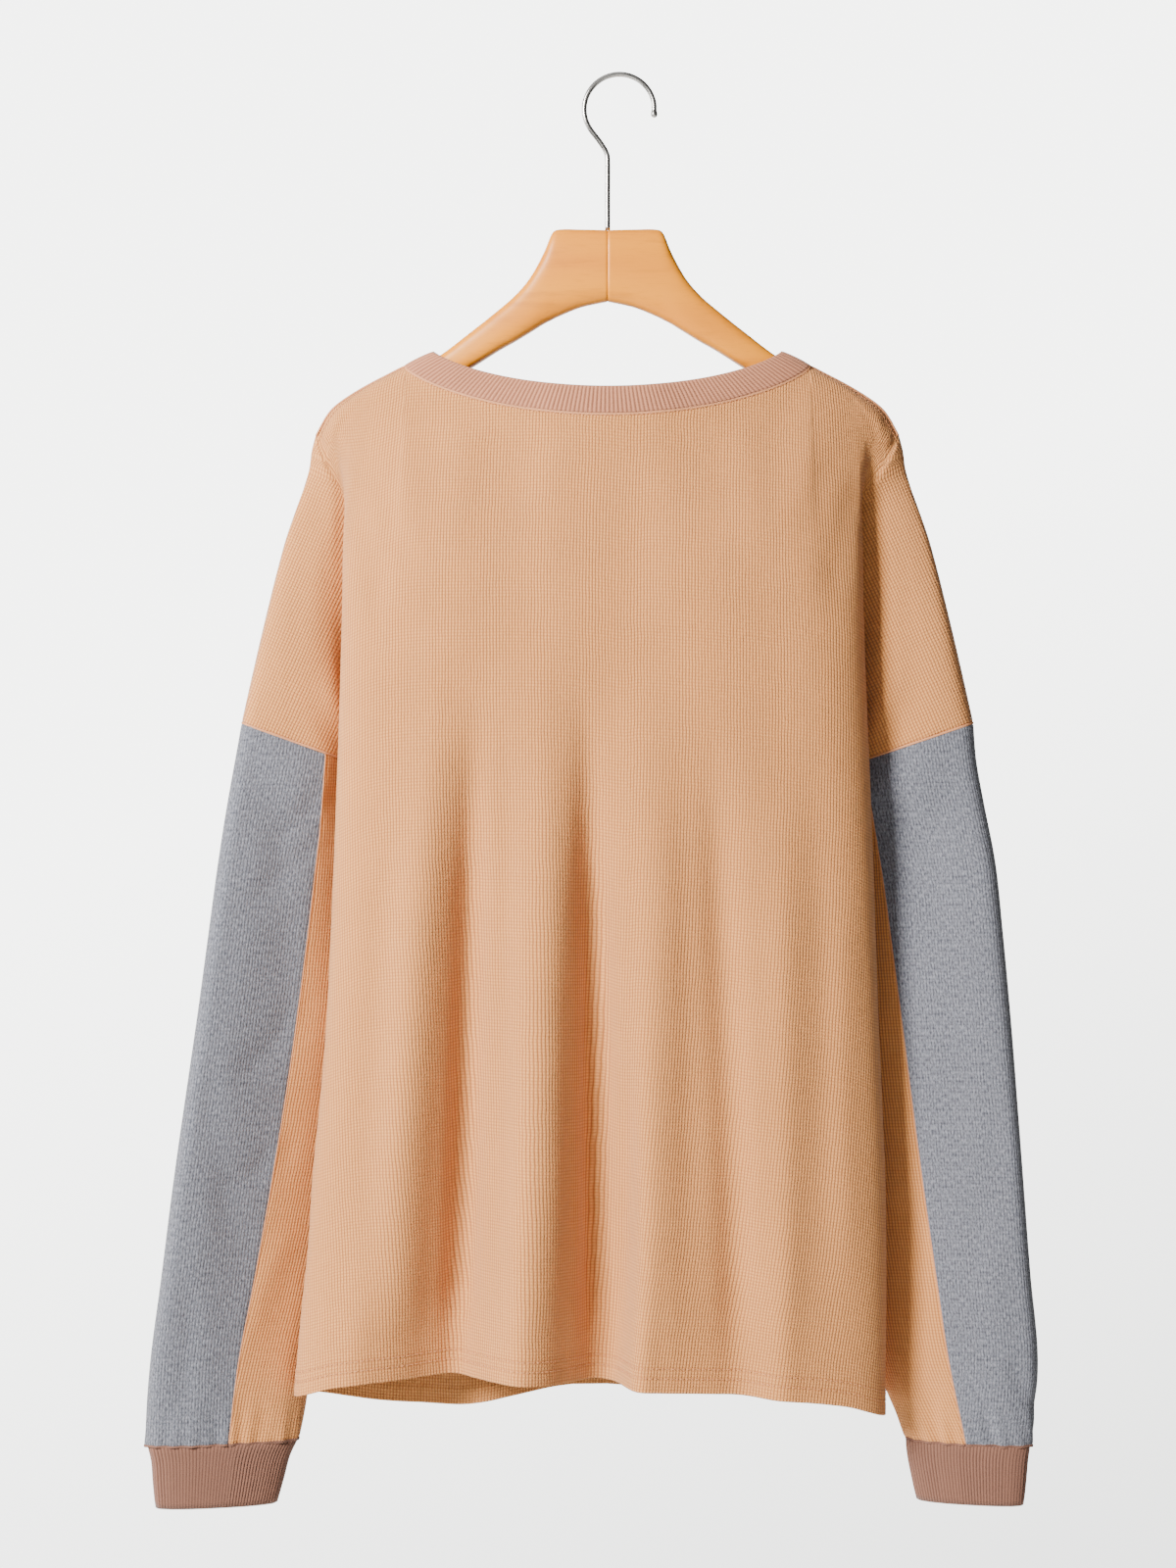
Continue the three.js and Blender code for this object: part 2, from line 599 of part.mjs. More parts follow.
// Points that several sheets share are seams: they get one offset, and they part by the gap. Where
// panels and a sleeve meet at a corner, the panels get one offset and the sleeve keeps its own.
const GAP_SHARE = { seam: 0.85, corner: 2 };
function partSeams(sheets) {
  const shared = new Map();
  for (const sheet of sheets) {
    sheet.look();
    for (const [key, id] of sheet.ids) {
      if (!shared.has(key)) shared.set(key, []);
      shared.get(key).push({ sheet, id, round: sheet.round[id] });
    }
  }
  for (const users of shared.values()) {
    if (users.length < 2) continue;
    const isCorner = users.length > 2;
    const roundOf = (some) => some.flatMap((user) => user.round);
    const normal = unit(offset(roundOf(users), 1));
    for (const { sheet, id } of users) {
      const kin = users.filter((user) => !isCorner || user.sheet.isPanel === sheet.isPanel);
      sheet.round[id] = roundOf(kin);
      if (isCorner) sheet.walls[id] = THIN_WALL;
      const inward = sheet.inward[id];
      const flat = minus(inward, times(normal, dot(inward, normal)));
      const share = isCorner ? GAP_SHARE.corner : GAP_SHARE.seam;
      sheet.points[id] = plus(sheet.points[id], times(unit(flat), SEAM_GAP * share));
    }
  }
}

function sheetMesh(sheet) {
  const outer = sheet.points.map((p, i) => plus(p, offset(sheet.round[i], sheet.lifts[i])));
  const inner = sheet.points.map((p, i) => minus(p, offset(sheet.round[i], sheet.walls[i])));
  return meshOf(sheet.name, sheet.colour, closedBody(outer, inner, sheet.triangles));
}

// Pieces of cloth

function panel(face) {
  const sheet = new Sheet(nameOf(face), "tan");
  const columns = columnsOf(face);
  const upper = ROWS.map((_, row) => columns.map((column) => upperPoint(face, column, row)));
  const main = upper.map((points, row) =>
    points.map((p, j) => {
      const isFold = j === 0 || j === points.length - 1;
      return sheet.point(p, isFold && row <= THIN_ROWS ? THIN_WALL : WALL);
    }),
  );
  const addRow = (r, wall, lift) => {
    main.push(columns.map((column) => sheet.point(lowerPoint(face, column, r), wall, lift)));
  };
  for (const r of LOWER_ROWS) addRow(r, WALL, 0);
  // the hem's two layers start at a small step
  const hemShare = 1 - HEM_HEIGHT / (ARMPIT_Z - BACK_HEM[0].z);
  addRow(hemShare - HEM_STEP_SHARE, WALL, 0);
  for (const r of [hemShare, 1]) addRow(r, HEM_WALL - HEM_STEP, HEM_STEP);
  const isOpening = (i, j) => face > 0 && j === FIRST_PLACKET_COLUMN && i < PLACKET_ROW;
  sheet.grid(main, face < 0, isOpening);
  // the shoulders' parts outside the folds, each from one point where its fold starts
  for (const side of ["left", "right"]) {
    const fold = side === "left" ? 0 : columns.length - 1;
    const rows = ROWS.map((_, row) => {
      const inner = upper[row][fold];
      return stations(side, TIP_Z).map((s) => {
        if (row === 0) return main[0][fold];
        if (s === 0) return main[row][fold];
        return sheet.point(capPoint(face, side, inner, row, s), row <= THIN_ROWS ? THIN_WALL : WALL);
      });
    });
    sheet.grid(rows, (face < 0) === (side === "right"));
  }
  return { sheet, upper };
}

const SLEEVE_ROWS = [0, 0.05, 0.11, 0.19, 0.29, 0.4, 0.52, 0.64, 0.76, 0.88, 1];

function sleevePanel(side, part) {
  const sheet = new Sheet(`sleeve_${side}_${part}`, part === "outer" ? "grey" : "tan");
  const rows = SLEEVE_ROWS.map((r) => {
    const all = stations(side, mix(TIP_Z, CUFF_SEAM_Z, r));
    const share = part === "outer" ? all.slice(UNDER.length - 1) : all.slice(0, UNDER.length).reverse();
    const back = share.map((s) => sleevePoint(side, -1, s, r));
    const front = share.slice(0, -1).reverse().map((s) => sleevePoint(side, 1, s, r));
    return [...back, ...front].map((p) => sheet.point(p));
  });
  sheet.grid(rows, (side === "right") === (part === "outer"));
  return sheet;
}

// A ribbed band: base(u, v) is its plain outer side, u in stations along it and v from 0 to 1 across;
// the ribs stand on straight stretches between stations, and the inner side is plain
function ribbedBand(name, count, closed, base, wall, rib, lift) {
  const steps = closed ? count : count - 1;
  const rows = [0, 1].map((v) => Array.from({ length: count }, (_, i) => base(i, v)));
  const lengthOf = (i) => Math.hypot(...minus(rows[0][(i + 1) % count], rows[0][i]));
  const side = (i) => {
    return unit(cross(minus(rows[0][(i + 1) % count], rows[0][i]), minus(rows[1][i], rows[0][i])));
  };
  const normals = Array.from({ length: count }, (_, i) => {
    const before = closed || i > 0 ? side((i + count - 1) % count) : side(i);
    const after = closed || i < count - 1 ? side(i) : side(i - 1);
    return unit(plus(before, after));
  });
  const outerPoints = [[], []];
  const innerPoints = [[], []];
  for (let i = 0; i < steps; i += 1) {
    const ribs = Math.max(1, Math.round(lengthOf(i) / rib.pitch));
    const last = !closed && i === steps - 1 ? 1 : 0;
    for (let k = 0; k < 2 * ribs + last; k += 1) {
      const t = k / (2 * ribs);
      const j = (i + 1) % count;
      const height = lift + (k % 2 === 1 ? rib.height : 0);
      const n = mixPoint(normals[i], normals[j], t);
      for (const v of [0, 1]) {
        const p = mixPoint(rows[v][i], rows[v][j], t);
        outerPoints[v].push(plus(p, times(n, height)));
        if (k % 2 === 0) innerPoints[v].push(minus(p, times(n, wall - lift)));
      }
    }
  }
  const m = outerPoints[0].length;
  const half = innerPoints[0].length;
  const points = [...outerPoints[0], ...outerPoints[1], ...innerPoints[0], ...innerPoints[1]];
  const id = { outer: (v, k) => v * m + (k % m), inner: (v, i) => 2 * m + v * half + (i % half) };
  const faces = [];
  const outerSteps = closed ? m : m - 1;
  for (let k = 0; k < outerSteps; k += 1) {
    faces.push([id.outer(0, k), id.outer(0, k + 1), id.outer(1, k + 1)]);
    faces.push([id.outer(0, k), id.outer(1, k + 1), id.outer(1, k)]);
  }
  for (let i = 0; 2 * i < outerSteps; i += 1) {
    faces.push([id.inner(0, i + 1), id.inner(0, i), id.inner(1, i)]);
    faces.push([id.inner(0, i + 1), id.inner(1, i), id.inner(1, i + 1)]);
    for (const v of [0, 1]) {
      const rim = [
        [id.outer(v, 2 * i + 1), id.outer(v, 2 * i), id.inner(v, i)],
        [id.outer(v, 2 * i + 2), id.outer(v, 2 * i + 1), id.inner(v, i + 1)],
        [id.outer(v, 2 * i + 1), id.inner(v, i), id.inner(v, i + 1)],
      ];
      faces.push(...(v === 0 ? rim : rim.map((face) => face.reverse())));
    }
  }
  if (!closed) {
    for (const [k, i, turn] of [[0, 0, false], [m - 1, half - 1, true]]) {
      const a = [id.outer(0, k), id.outer(1, k), id.inner(1, i)];
      const b = [id.outer(0, k), id.inner(1, i), id.inner(0, i)];
      faces.push(turn ? a.reverse() : a, turn ? b.reverse() : b);
    }
  }
  return meshOf(name, "rib", { points, faces });
}

function neckband() {
  const front = NECK_ANGLES.front;
  const back = NECK_ANGLES.back;
  const half = PLACKET.width / 2;
  // from the placket's edge across the middle to the left, round the back, and to the placket again
  const loop = [
    { face: 1, side: 1, angle: front[front.length - 1] },
    ...[...front].reverse().map((angle) => ({ face: 1, side: -1, angle })),
    ...back.slice(1).map((angle) => ({ face: -1, side: -1, angle })),
    ...back.slice(0, -1).reverse().map((angle) => ({ face: -1, side: 1, angle })),
    ...front.slice(1).map((angle) => ({ face: 1, side: 1, angle })),
  ];
  const last = loop.length - 1;
  const base = (i, v) => {
    const { face, side, angle } = loop[i];
    const seam = neckPoint(face, side, angle, "seam");
    const edge = neckPoint(face, side, angle, "band");
    const p = mixPoint(seam, edge, v === 0 ? SEAM_GAP / (NECK_HALF - BAND_HALF) : 1);
    // the two ends meet at the placket's edge, beside each other
    if (i === 0) p[0] = half - SEAM_GAP;
    if (i === last) p[0] = half + SEAM_GAP;
    return p;
  };
  return ribbedBand("neckband", loop.length, false, base, BAND_WALL, NECK_RIB, BAND_LIFT);
}

const CUFF_STATIONS = [0, 0.06, 0.2, 0.4, 0.6, 0.8, 0.94, 1];
function cuff(side) {
  const table = CUFFS[side];
  const low = table[table.length - 1].z;
  const back = CUFF_STATIONS.map((s) => ({ face: -1, s }));
  const front = CUFF_STATIONS.slice(1, -1).reverse().map((s) => ({ face: 1, s }));
  const loop = [...back, ...front];
  if (side === "right") loop.reverse();
  const base = (i, v) => {
    const z = v === 0 ? low : CUFF_SEAM_Z - SEAM_GAP;
    const [inner, outer] = ["in", "out"].map((edge) => edgeOf(table, side, edge, z));
    return lensPoint(inner, outer, along(table, "z", "deep", z), loop[i].face, loop[i].s);
  };
  const lengths = loop.map((_, i) => Math.hypot(...minus(base(i, 0), base((i + 1) % loop.length, 0))));
  const pitch = lengths.reduce((sum, length) => sum + length, 0) / CUFF_RIB.count;
  const rib = { pitch, height: CUFF_RIB.height };
  return ribbedBand(`cuff_${side}`, loop.length, true, base, BAND_WALL, rib, BAND_LIFT);
}

// The placket: two bands over the opening of the front, from the two columns beside it
function placketPoint(front, across, z) {
  const first = FIRST_PLACKET_COLUMN;
  let i = 0;
  while (i + 2 < front.length && front[i + 1][first][2] > z) i += 1;
  const t = (front[i][first][2] - z) / (front[i][first][2] - front[i + 1][first][2]);
  const at = (column) => mixPoint(front[i][column], front[i + 1][column], t);
  const point = mixPoint(at(first), at(first + 1), across);
  const down = minus(front[i + 1][first], front[i][first]);
  const normal = unit(cross(down, [1, 0, 0]));
  return { point: [point[0], point[1], z], normal: normal[1] > 0 ? normal : times(normal, -1) };
}

function placketBand(name, front, { margin, lift, top, bottom }) {
  const sheet = new Sheet(name, "tan", PLACKET.wall);
  const shares = [-margin / PLACKET.width, 0.25, 0.75, 1 + margin / PLACKET.width];
  const beside = front.slice(1, PLACKET_ROW).map((row) => row[FIRST_PLACKET_COLUMN][2]);
  const rows = [top, ...beside, bottom].map((z) => {
    return shares.map((across) => {
      const { point, normal } = placketPoint(front, across, z);
      return sheet.point(plus(point, times(normal, lift)));
    });
  });
  sheet.grid(rows, false);
  sheet.look();
  return sheetMesh(sheet);
}

function placket(front) {
  const top = NECK_POINT_Z - NECK_DROP_FRONT;
  const bottom = front[PLACKET_ROW][FIRST_PLACKET_COLUMN][2];
  const upperLift = PLACKET.wall + PLACKET.between;
  const group = new THREE.Group();
  group.add(
    placketBand("placket_upper", front, {
      margin: PLACKET.overlap,
      lift: upperLift,
      top: top - SEAM_GAP,
      bottom: bottom - PLACKET.endOverlap,
    }),
    placketBand("placket_under", front, {
      margin: -SEAM_GAP,
      lift: -PLACKET.sunk,
      top: top - SEAM_GAP,
      bottom: bottom + SEAM_GAP,
    }),
  );
  for (let i = 0; i < BUTTON.count; i += 1) {
    const z = mix(top - BUTTON.fromTop, bottom + BUTTON.fromBottom, i / (BUTTON.count - 1));
    const { point, normal } = placketPoint(front, 0.5, z);
    const place = plus(point, times(normal, upperLift + BUTTON.lift));
    group.add(button(`button_${i + 1}`, place, normal));
  }
  return group;
}

function button(name, place, normal) {
  const { radius: r, thick } = BUTTON;
  const profile = [
    [0, 0],
    [r - 0.5, 0],
    [r, 0.6],
    [r, thick - 0.6],
    [r - 0.5, thick],
    [r - 1.3, thick],
    [r - 2, thick - 0.7],
    [0, thick - 0.7],
  ].map(([x, y]) => new THREE.Vector2(x, y));
  const mesh = named(name, "button", new THREE.LatheGeometry(profile, 20));
  mesh.position.set(...place);
  mesh.quaternion.setFromUnitVectors(new THREE.Vector3(0, 1, 0), new THREE.Vector3(...normal));
  return mesh;
}

// The hanger and its hook

const ARM_RING = 12;
const ARM_SQUARE = 3.2; // exponent of the arm's rounded section
function hangerHalf(side) {
  const sign = SIDE_SIGN[side];
  const rings = ARM.map((row) => ({ ...row, half: ARM_HALF_DEPTH }));
  rings[0].x = SEAM_GAP / 2;
  const end = rings[rings.length - 1];
  end.half = 6.5;
  rings.push({ x: ARM_LENGTH, top: end.top - 5, bottom: end.bottom + 4, half: 3 });
  const points = [];
  for (const { x, top, bottom, half } of rings) {
    for (let k = 0; k < ARM_RING; k += 1) {
      const a = (2 * Math.PI * (k + 0.5)) / ARM_RING;
      const soft = (v) => Math.sign(v) * Math.abs(v) ** (2 / ARM_SQUARE);
      const y = armSweep(x) + half * soft(Math.cos(a));
      points.push([sign * x, y, (top + bottom) / 2 + ((top - bottom) / 2) * soft(Math.sin(a))]);
    }
  }
  const faces = [];
  const add = (a, b, c) => faces.push(sign > 0 ? [a, b, c] : [c, b, a]);
  for (let i = 0; i + 1 < rings.length; i += 1) {
    for (let k = 0; k < ARM_RING; k += 1) {
      const next = (k + 1) % ARM_RING;
      const [a, b] = [i * ARM_RING + k, i * ARM_RING + next];
      add(a, b, b + ARM_RING);
      add(a, b + ARM_RING, a + ARM_RING);
    }
  }
  const tip = (rings.length - 1) * ARM_RING;
  for (let k = 1; k + 1 < ARM_RING; k += 1) {
    add(0, k + 1, k);
    add(tip, tip + k, tip + k + 1);
  }
  return meshOf(`hanger_${side}`, "wood", { points, faces });
}

function hook() {
  const centre = { x: -SHAFT_X, z: -HOOK_RADIUS + WIRE_RADIUS };
  const path = [];
  for (let angle = -8; angle <= 212; angle += 20) {
    const a = rad(angle);
    path.push([centre.x + HOOK_RADIUS * Math.cos(a), centre.z + HOOK_RADIUS * Math.sin(a)]);
  }
  path.push([-5.2, -43], [-1, -50], [0, -56], [0, -78], [0, ARM[0].top + SEAM_GAP]);
  const line = path.map(([x, z]) => new THREE.Vector3(x, 0, z));
  const curve = new THREE.CatmullRomCurve3(line, false, "centripetal");
  const section = new THREE.Shape();
  for (let k = 0; k < 8; k += 1) {
    const a = (Math.PI * (2 * k + 1)) / 8;
    const step = k === 0 ? "moveTo" : "lineTo";
    section[step](WIRE_RADIUS * Math.cos(a), WIRE_RADIUS * Math.sin(a));
  }
  const options = { steps: 44, extrudePath: curve, bevelEnabled: false };
  const geometry = new THREE.ExtrudeGeometry(section, options);
  return named("hook", "metal", geometry);
}

const garment = new THREE.Group();
garment.position.x = SHAFT_X;
const back = panel(-1);
const front = panel(1);
const sheets = [back.sheet, front.sheet];
for (const side of ["left", "right"]) {
  for (const part of ["outer", "under"]) sheets.push(sleevePanel(side, part));
}
partSeams(sheets);
garment.add(...sheets.map(sheetMesh), neckband(), placket(front.upper));
garment.add(cuff("left"), cuff("right"), hangerHalf("left"), hangerHalf("right"), hook());

const shirt = new THREE.Group();
shirt.add(garment);
export default shirt;
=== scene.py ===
"""A long-sleeved waffle-knit henley shirt hanging on a contoured wooden hanger."""

import math

import bmesh
import bpy
import numpy as np
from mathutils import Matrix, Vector


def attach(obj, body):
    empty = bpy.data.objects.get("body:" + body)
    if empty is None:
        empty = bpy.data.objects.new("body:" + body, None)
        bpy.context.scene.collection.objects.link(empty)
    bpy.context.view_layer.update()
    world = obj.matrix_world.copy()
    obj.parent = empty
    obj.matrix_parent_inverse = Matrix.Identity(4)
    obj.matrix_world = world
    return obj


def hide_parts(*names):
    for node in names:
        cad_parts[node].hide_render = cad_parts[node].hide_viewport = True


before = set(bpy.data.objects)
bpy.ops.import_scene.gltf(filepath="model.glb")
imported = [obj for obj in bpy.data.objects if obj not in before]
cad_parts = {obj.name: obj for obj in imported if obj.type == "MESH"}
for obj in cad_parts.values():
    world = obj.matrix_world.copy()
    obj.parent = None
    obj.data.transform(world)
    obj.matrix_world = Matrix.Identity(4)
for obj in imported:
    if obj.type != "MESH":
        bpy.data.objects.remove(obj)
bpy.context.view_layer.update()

def entries(names, *values):
    """Table rows as dictionaries, from the columns' names and each row's values."""
    return [dict(zip(names.split(), row)) for row in values]


# dimensions, in millimetres
# The shirt's back faces -Y. Forms are made with x = 0 at the hook's shaft and z = 0 at the inside
# top of the hook, and moved by SHAFT_X when they become meshes.
MM = 0.001
SHAFT_X = -7.8
WALL, RIB_WALL = 1.4, 1.6
ARMPIT_Z, FOLD_TOP_Z, TIP_Z, CUFF_SEAM_Z = -465, -234, -428, -909
OVAL = 3
SIDE_SEAM_ARMPIT, SIDE_SEAM_HEM = 46, 8
NECK_HALF, BAND_HALF = 135.5, 115.5
NECK_POINT_Z, BAND_POINT_Z = -190.5, -181.4
NECK_DROP = {-1: 35, 1: 74}
BAND_DROP = {-1: 26, 1: 64}
ARM_SWEEP, ARM_LENGTH, ARM_HALF_DEPTH, ARM_SQUARE = 24, 186, 9, 3.2
WIRE_RADIUS, HOOK_RADIUS = 1.7, 23.3
PLACKET_WIDTH, PLACKET_OVERLAP, PLACKET_WALL, STITCH_INSET = 24, 2.5, 1.5, 3.0
CELL = 3.6  # side of a cloth mesh's cell
# The ends of the shoulders are eased, in passes that start ever higher up
SHOULDER_INNER_X, PAST_HANGER_X, SHOULDER_TOP_Z, SHOULDER_EASED_Z, SHOULDER_PASSES = 172, 191, -240, -292, 14

# The body's oval at a height: side edges, middle, and half depths to the back and the front
BODY = entries("z left right mid back front",
    (-234, -176, 170, 14, 38, 22), (-350, -176, 170, 8, 41, 31), (-465, -179, 174, 4, 42, 40),
    (-637, -187, 180, 4, 43, 40), (-716, -195, 184, 5, 44, 40), (-768, -198, 185, 6, 45, 40),
    (-846, -206, 184.5, 8, 46, 39), (-890, -209, 184, 8, 46, 38),
)
# The shoulder line: height at each distance from the middle, then the fall outside it
CREST = entries("x z",
    (0, -100), (36, -102), (51, -131), (71.5, -152), (94, -169), (115.5, -181), (137, -191),
    (162, -203), (181, -214), (193, -226),
)
FALL = entries("z x",
    (-226, 193), (-242, 198), (-261, 201), (-306, 216), (-371, 232), (-428, 244.5),
)
# Height of the lower edge of the back and of the front
HEM = {
    -1: entries("x z",
        (-209, -875), (-175, -864), (-105, -860), (0, -864), (96, -870), (156, -877), (184, -887),
    ),
    1: entries("x z",
        (-209, -875), (-150, -886), (-100, -887), (-60, -881), (0, -874), (100, -876), (184, -887),
    ),
}
# Long folds: x of each crest and trough at a height, from left to right, and the troughs' depths
FOLDS = {
    -1: entries("z crest1 trough1 crest2 trough2 crest3 trough3 crest4",
        (-390, -118, -88, -50, -16, 22, 52, 92), (-500, -124, -89, -46, -9, 23, 62, 104),
        (-664, -140, -90, -47, 0, 23, 74, 110), (-793, -162, -99, -53, 3, 22, 85, 112),
        (-875, -178, -109, -58, 0, 17, 89, 107),
    ),
    1: entries("z crest1 trough1 crest2 trough2 crest3 trough3 crest4",
        (-440, -105, -62, -22, 30, 78, 110, 140), (-875, -135, -84, -30, 36, 84, 126, 155),
    ),
}
FOLD_DEPTH = {-1: (36, 40, 11), 1: (17, 21, 10)}
FOLD_START, FOLD_END = -371, -875

# Sleeve sections: inner and outer edge (distance from the middle and y), and half depth
SLEEVES = {
    "left": entries("z inX outX inY outY deep",
        (-428, 140, 244.5, 36, 15, 15), (-465, 140, 250.5, 36, 11, 16), (-508, 141, 256.8, 47, 6, 17),
        (-612, 152, 270.4, 50, 0, 17), (-716, 168, 285.4, 50, -2, 17), (-820, 190, 299.5, 44, 0, 16.5),
        (-872, 202, 307, 36, 4, 16), (-909, 207, 309.5, 30, 8, 14),
    ),
    "right": entries("z inX outX inY outY deep",
        (-428, 140, 244.5, 36, 15, 15), (-465, 140, 247.5, 36, 11, 16), (-508, 140, 256.5, 47, 6, 17),
        (-612, 147, 266.5, 50, 0, 17), (-716, 158, 274.5, 50, -2, 17), (-820, 174, 283, 44, 0, 16.5),
        (-872, 184, 287.5, 36, 4, 16), (-909, 201, 284, 30, 8, 14),
    ),
}
CUFFS = {
    "left": entries("z inX outX inY outY deep",
        (-909, 208, 306, 30, 8, 13), (-918, 213, 303.5, 29, 9, 12.5), (-951, 222, 301, 27, 11, 12),
    ),
    "right": entries("z inX outX inY outY deep",
        (-909, 201, 281, 30, 8, 13), (-918, 202, 279.5, 29, 9, 12.5), (-949, 208, 277, 27, 11, 12),
    ),
}
SIDES = {"left": -1, "right": 1}
PANEL_SEAM = {
    "left": entries("z share",
        (-428, 0.45), (-909, 0.44),
    ),
    "right": entries("z share",
        (-428, 0.33), (-650, 0.41), (-909, 0.45),
    ),
}
# Hanger arm: upper and lower edge at each distance from the middle
ARM = entries("x top bottom",
    (0, -102, -149), (18, -101.5, -153), (33, -101.5, -159), (37, -104, -161), (42, -116, -163.5),
    (51, -132.5, -169), (61, -144.5, -175), (72, -154, -181), (90, -168, -192), (115, -186, -206),
    (145, -200, -220), (166, -210, -230), (179, -219.5, -236), (186, -224.5, -232),
)


# helpers
def mix(a, b, t):
    return a + (b - a) * t


def hermite(t, a, b, leave, arrive):
    """Smooth step from a to b, with the rise over the whole step at its start and at its end."""
    ends = (1 + 2 * t) * (1 - t) ** 2 * a + t * t * (3 - 2 * t) * b
    return ends + t * (1 - t) ** 2 * leave + t * t * (t - 1) * arrive


def smooth(t):
    t = min(1.0, max(0.0, t))
    return t * t * (3 - 2 * t)


def along(table, axis, column, at):
    """Value of a table's column at a place, on a smooth curve through its rows."""
    rows = table if table[-1][axis] > table[0][axis] else table[::-1]
    place = [row[axis] for row in rows]
    value = [row[column] for row in rows]
    if at <= place[0]:
        return value[0]
    if at >= place[-1]:
        return value[-1]
    i = max(k for k in range(len(place) - 1) if place[k] <= at)

    def slope(k):
        a, b = max(0, k - 1), min(len(place) - 1, k + 1)
        return (value[b] - value[a]) / (place[b] - place[a])

    h = place[i + 1] - place[i]
    t = (at - place[i]) / h
    return hermite(t, value[i], value[i + 1], h * slope(i), h * slope(i + 1))


# the cloth's form
def arm_sweep(x):
    return ARM_SWEEP * (x / ARM_LENGTH) ** 2


def crest_z(x):
    return along(CREST, "x", "z", abs(x))


def fall_x(z):
    return along(FALL, "z", "x", z)


def fall_y(z):
    return mix(arm_sweep(fall_x(FOLD_TOP_Z)), 15, (FOLD_TOP_Z - z) / (FOLD_TOP_Z - TIP_Z))


def drop_at(x, z):
    """How far a point lies inside the shoulder line, measured down and sideways."""
    down = crest_z(x) - z
    inward = fall_x(z) - abs(x) + 3 * max(0, z - FALL[0]["z"])
    return 0 if down <= 0 or inward <= 0 else down * inward / (down + inward)


def tent_y(face, x, z):
    drop = drop_at(x, z)
    return arm_sweep(x) + face * (11.8 * math.sqrt(1 - math.exp(-drop / 6)) + 0.11 * drop)


def fold_depth(face, x, z):
    grow = min(1, max(0, (FOLD_START - z) / (FOLD_START - FOLD_END))) ** 1.15
    names = ["crest1", "trough1", "crest2", "trough2", "crest3", "trough3", "crest4"]
    line = [along(FOLDS[face], "z", name, z) for name in names]
    depths = [0, FOLD_DEPTH[face][0], 0, FOLD_DEPTH[face][1], 0, FOLD_DEPTH[face][2], 0]
    if grow == 0 or x <= line[0] or x >= line[-1]:
        return 0
    i = max(k for k in range(6) if line[k] <= x)
    t = (x - line[i]) / (line[i + 1] - line[i])
    return grow * mix(depths[i], depths[i + 1], smooth(t))


def oval(z):
    get = {key: along(BODY, "z", key, z) for key in ("left", "right", "mid", "back", "front")}
    return (get["left"] + get["right"]) / 2, (get["right"] - get["left"]) / 2, get


def oval_point(z, face, side, angle):
    """Point on the body's oval; angle is in degrees from the side edge towards the face."""
    centre, half, get = oval(z)
    way = -face if angle < 0 else face
    a = math.radians(abs(angle))
    depth = get["back"] if way < 0 else get["front"]
    x = centre + side * half * max(0, math.cos(a)) ** (2 / OVAL)
    inset = math.sin(a) ** (2 / OVAL)
    return [x, get["mid"] + way * inset * (depth - fold_depth(way, x, z)), z]


def front_y(x, z):
    centre, half, get = oval(z)
    u = abs(x - centre) / half
    return -math.inf if u >= 1 else get["mid"] + get["front"] * (1 - u**OVAL) ** (1 / OVAL)


SIDE_COLUMNS = [
    dict(seam=1, top=195.5, reach=0.22, reach_y=0.22, even=1),
    dict(seam=0.5, top=188, reach=0.23, reach_y=0.27, even=1),
    dict(angle=0, top=180, reach=0.3, reach_y=0.35, even=0.6),
    dict(angle=7, top=169, reach=0.4, reach_y=0.42, even=0.3),
    dict(angle=16, top=158, reach=0.5, reach_y=0.5, even=0),
    dict(angle=26, top=147, reach=0.65, reach_y=0.5, even=0),
]
NECK_ANGLES = {
    -1: [0, 8, 16, 25, 34, 42, 50, 58, 66, 74, 82, 90],
    1: [0, 8, 16, 27, 38, 49, 60, 72, 84.92],
}
NECK_COLUMN_ANGLE = {-1: 36.4, 1: 58}
ROWS = [0, 0.012, 0.035, 0.08, 0.15, 0.25, 0.37, 0.5, 0.64, 0.82, 1]
EVEN_ROWS = [0, 0.05, 0.11, 0.18, 0.26, 0.36, 0.47, 0.58, 0.7, 0.85, 1]
PLACKET_ROW = 8
LOWER_ROWS = [0.12, 0.25, 0.38, 0.51, 0.64, 0.76, 0.87, 0.951, 1]
FIRST_PLACKET_COLUMN = len(SIDE_COLUMNS) + len(NECK_ANGLES[1]) - 1


def neck_point(face, side, angle, edge):
    half = BAND_HALF if edge == "band" else NECK_HALF
    drop = (BAND_DROP if edge == "band" else NECK_DROP)[face]
    x = half * math.cos(math.radians(angle))
    z = BAND_POINT_Z if edge == "band" else NECK_POINT_Z
    z -= drop * math.sin(math.radians(angle)) ** (1.5 if face < 0 else 1.25)
    return [side * x, tent_y(face, x, z), z]


def columns_of(face):
    half = []
    for i, column in enumerate(SIDE_COLUMNS):
        half.append(dict(column, share=i / len(SIDE_COLUMNS)))
    neck = NECK_ANGLES[face]
    middle = 0 if face < 0 else PLACKET_WIDTH / 2
    for i, angle in enumerate(neck):
        across = i / (len(neck) - 1)
        half.append(dict(neck=angle, across=across, middle=middle, reach=0.8, reach_y=0.5, even=0))
    left = [dict(c, side=-1) for c in half]
    right = [dict(c, side=1) for c in half[::-1]]
    return left + (right[1:] if face < 0 else right)


def ring_point(face, column, z, seam):
    if "neck" in column:
        half = oval(z)[1]
        outer = half * math.cos(math.radians(NECK_COLUMN_ANGLE[face])) ** (2 / OVAL)
        reach = mix(outer, column["middle"], column["across"])
        angle = math.degrees(math.acos((reach / half) ** (OVAL / 2)))
        return oval_point(z, face, column["side"], angle)
    if face > 0:
        angle = mix(seam, NECK_COLUMN_ANGLE[1], column["share"])
    else:
        angle = -seam * column["seam"] if "seam" in column else column["angle"]
    return oval_point(z, face, column["side"], angle)


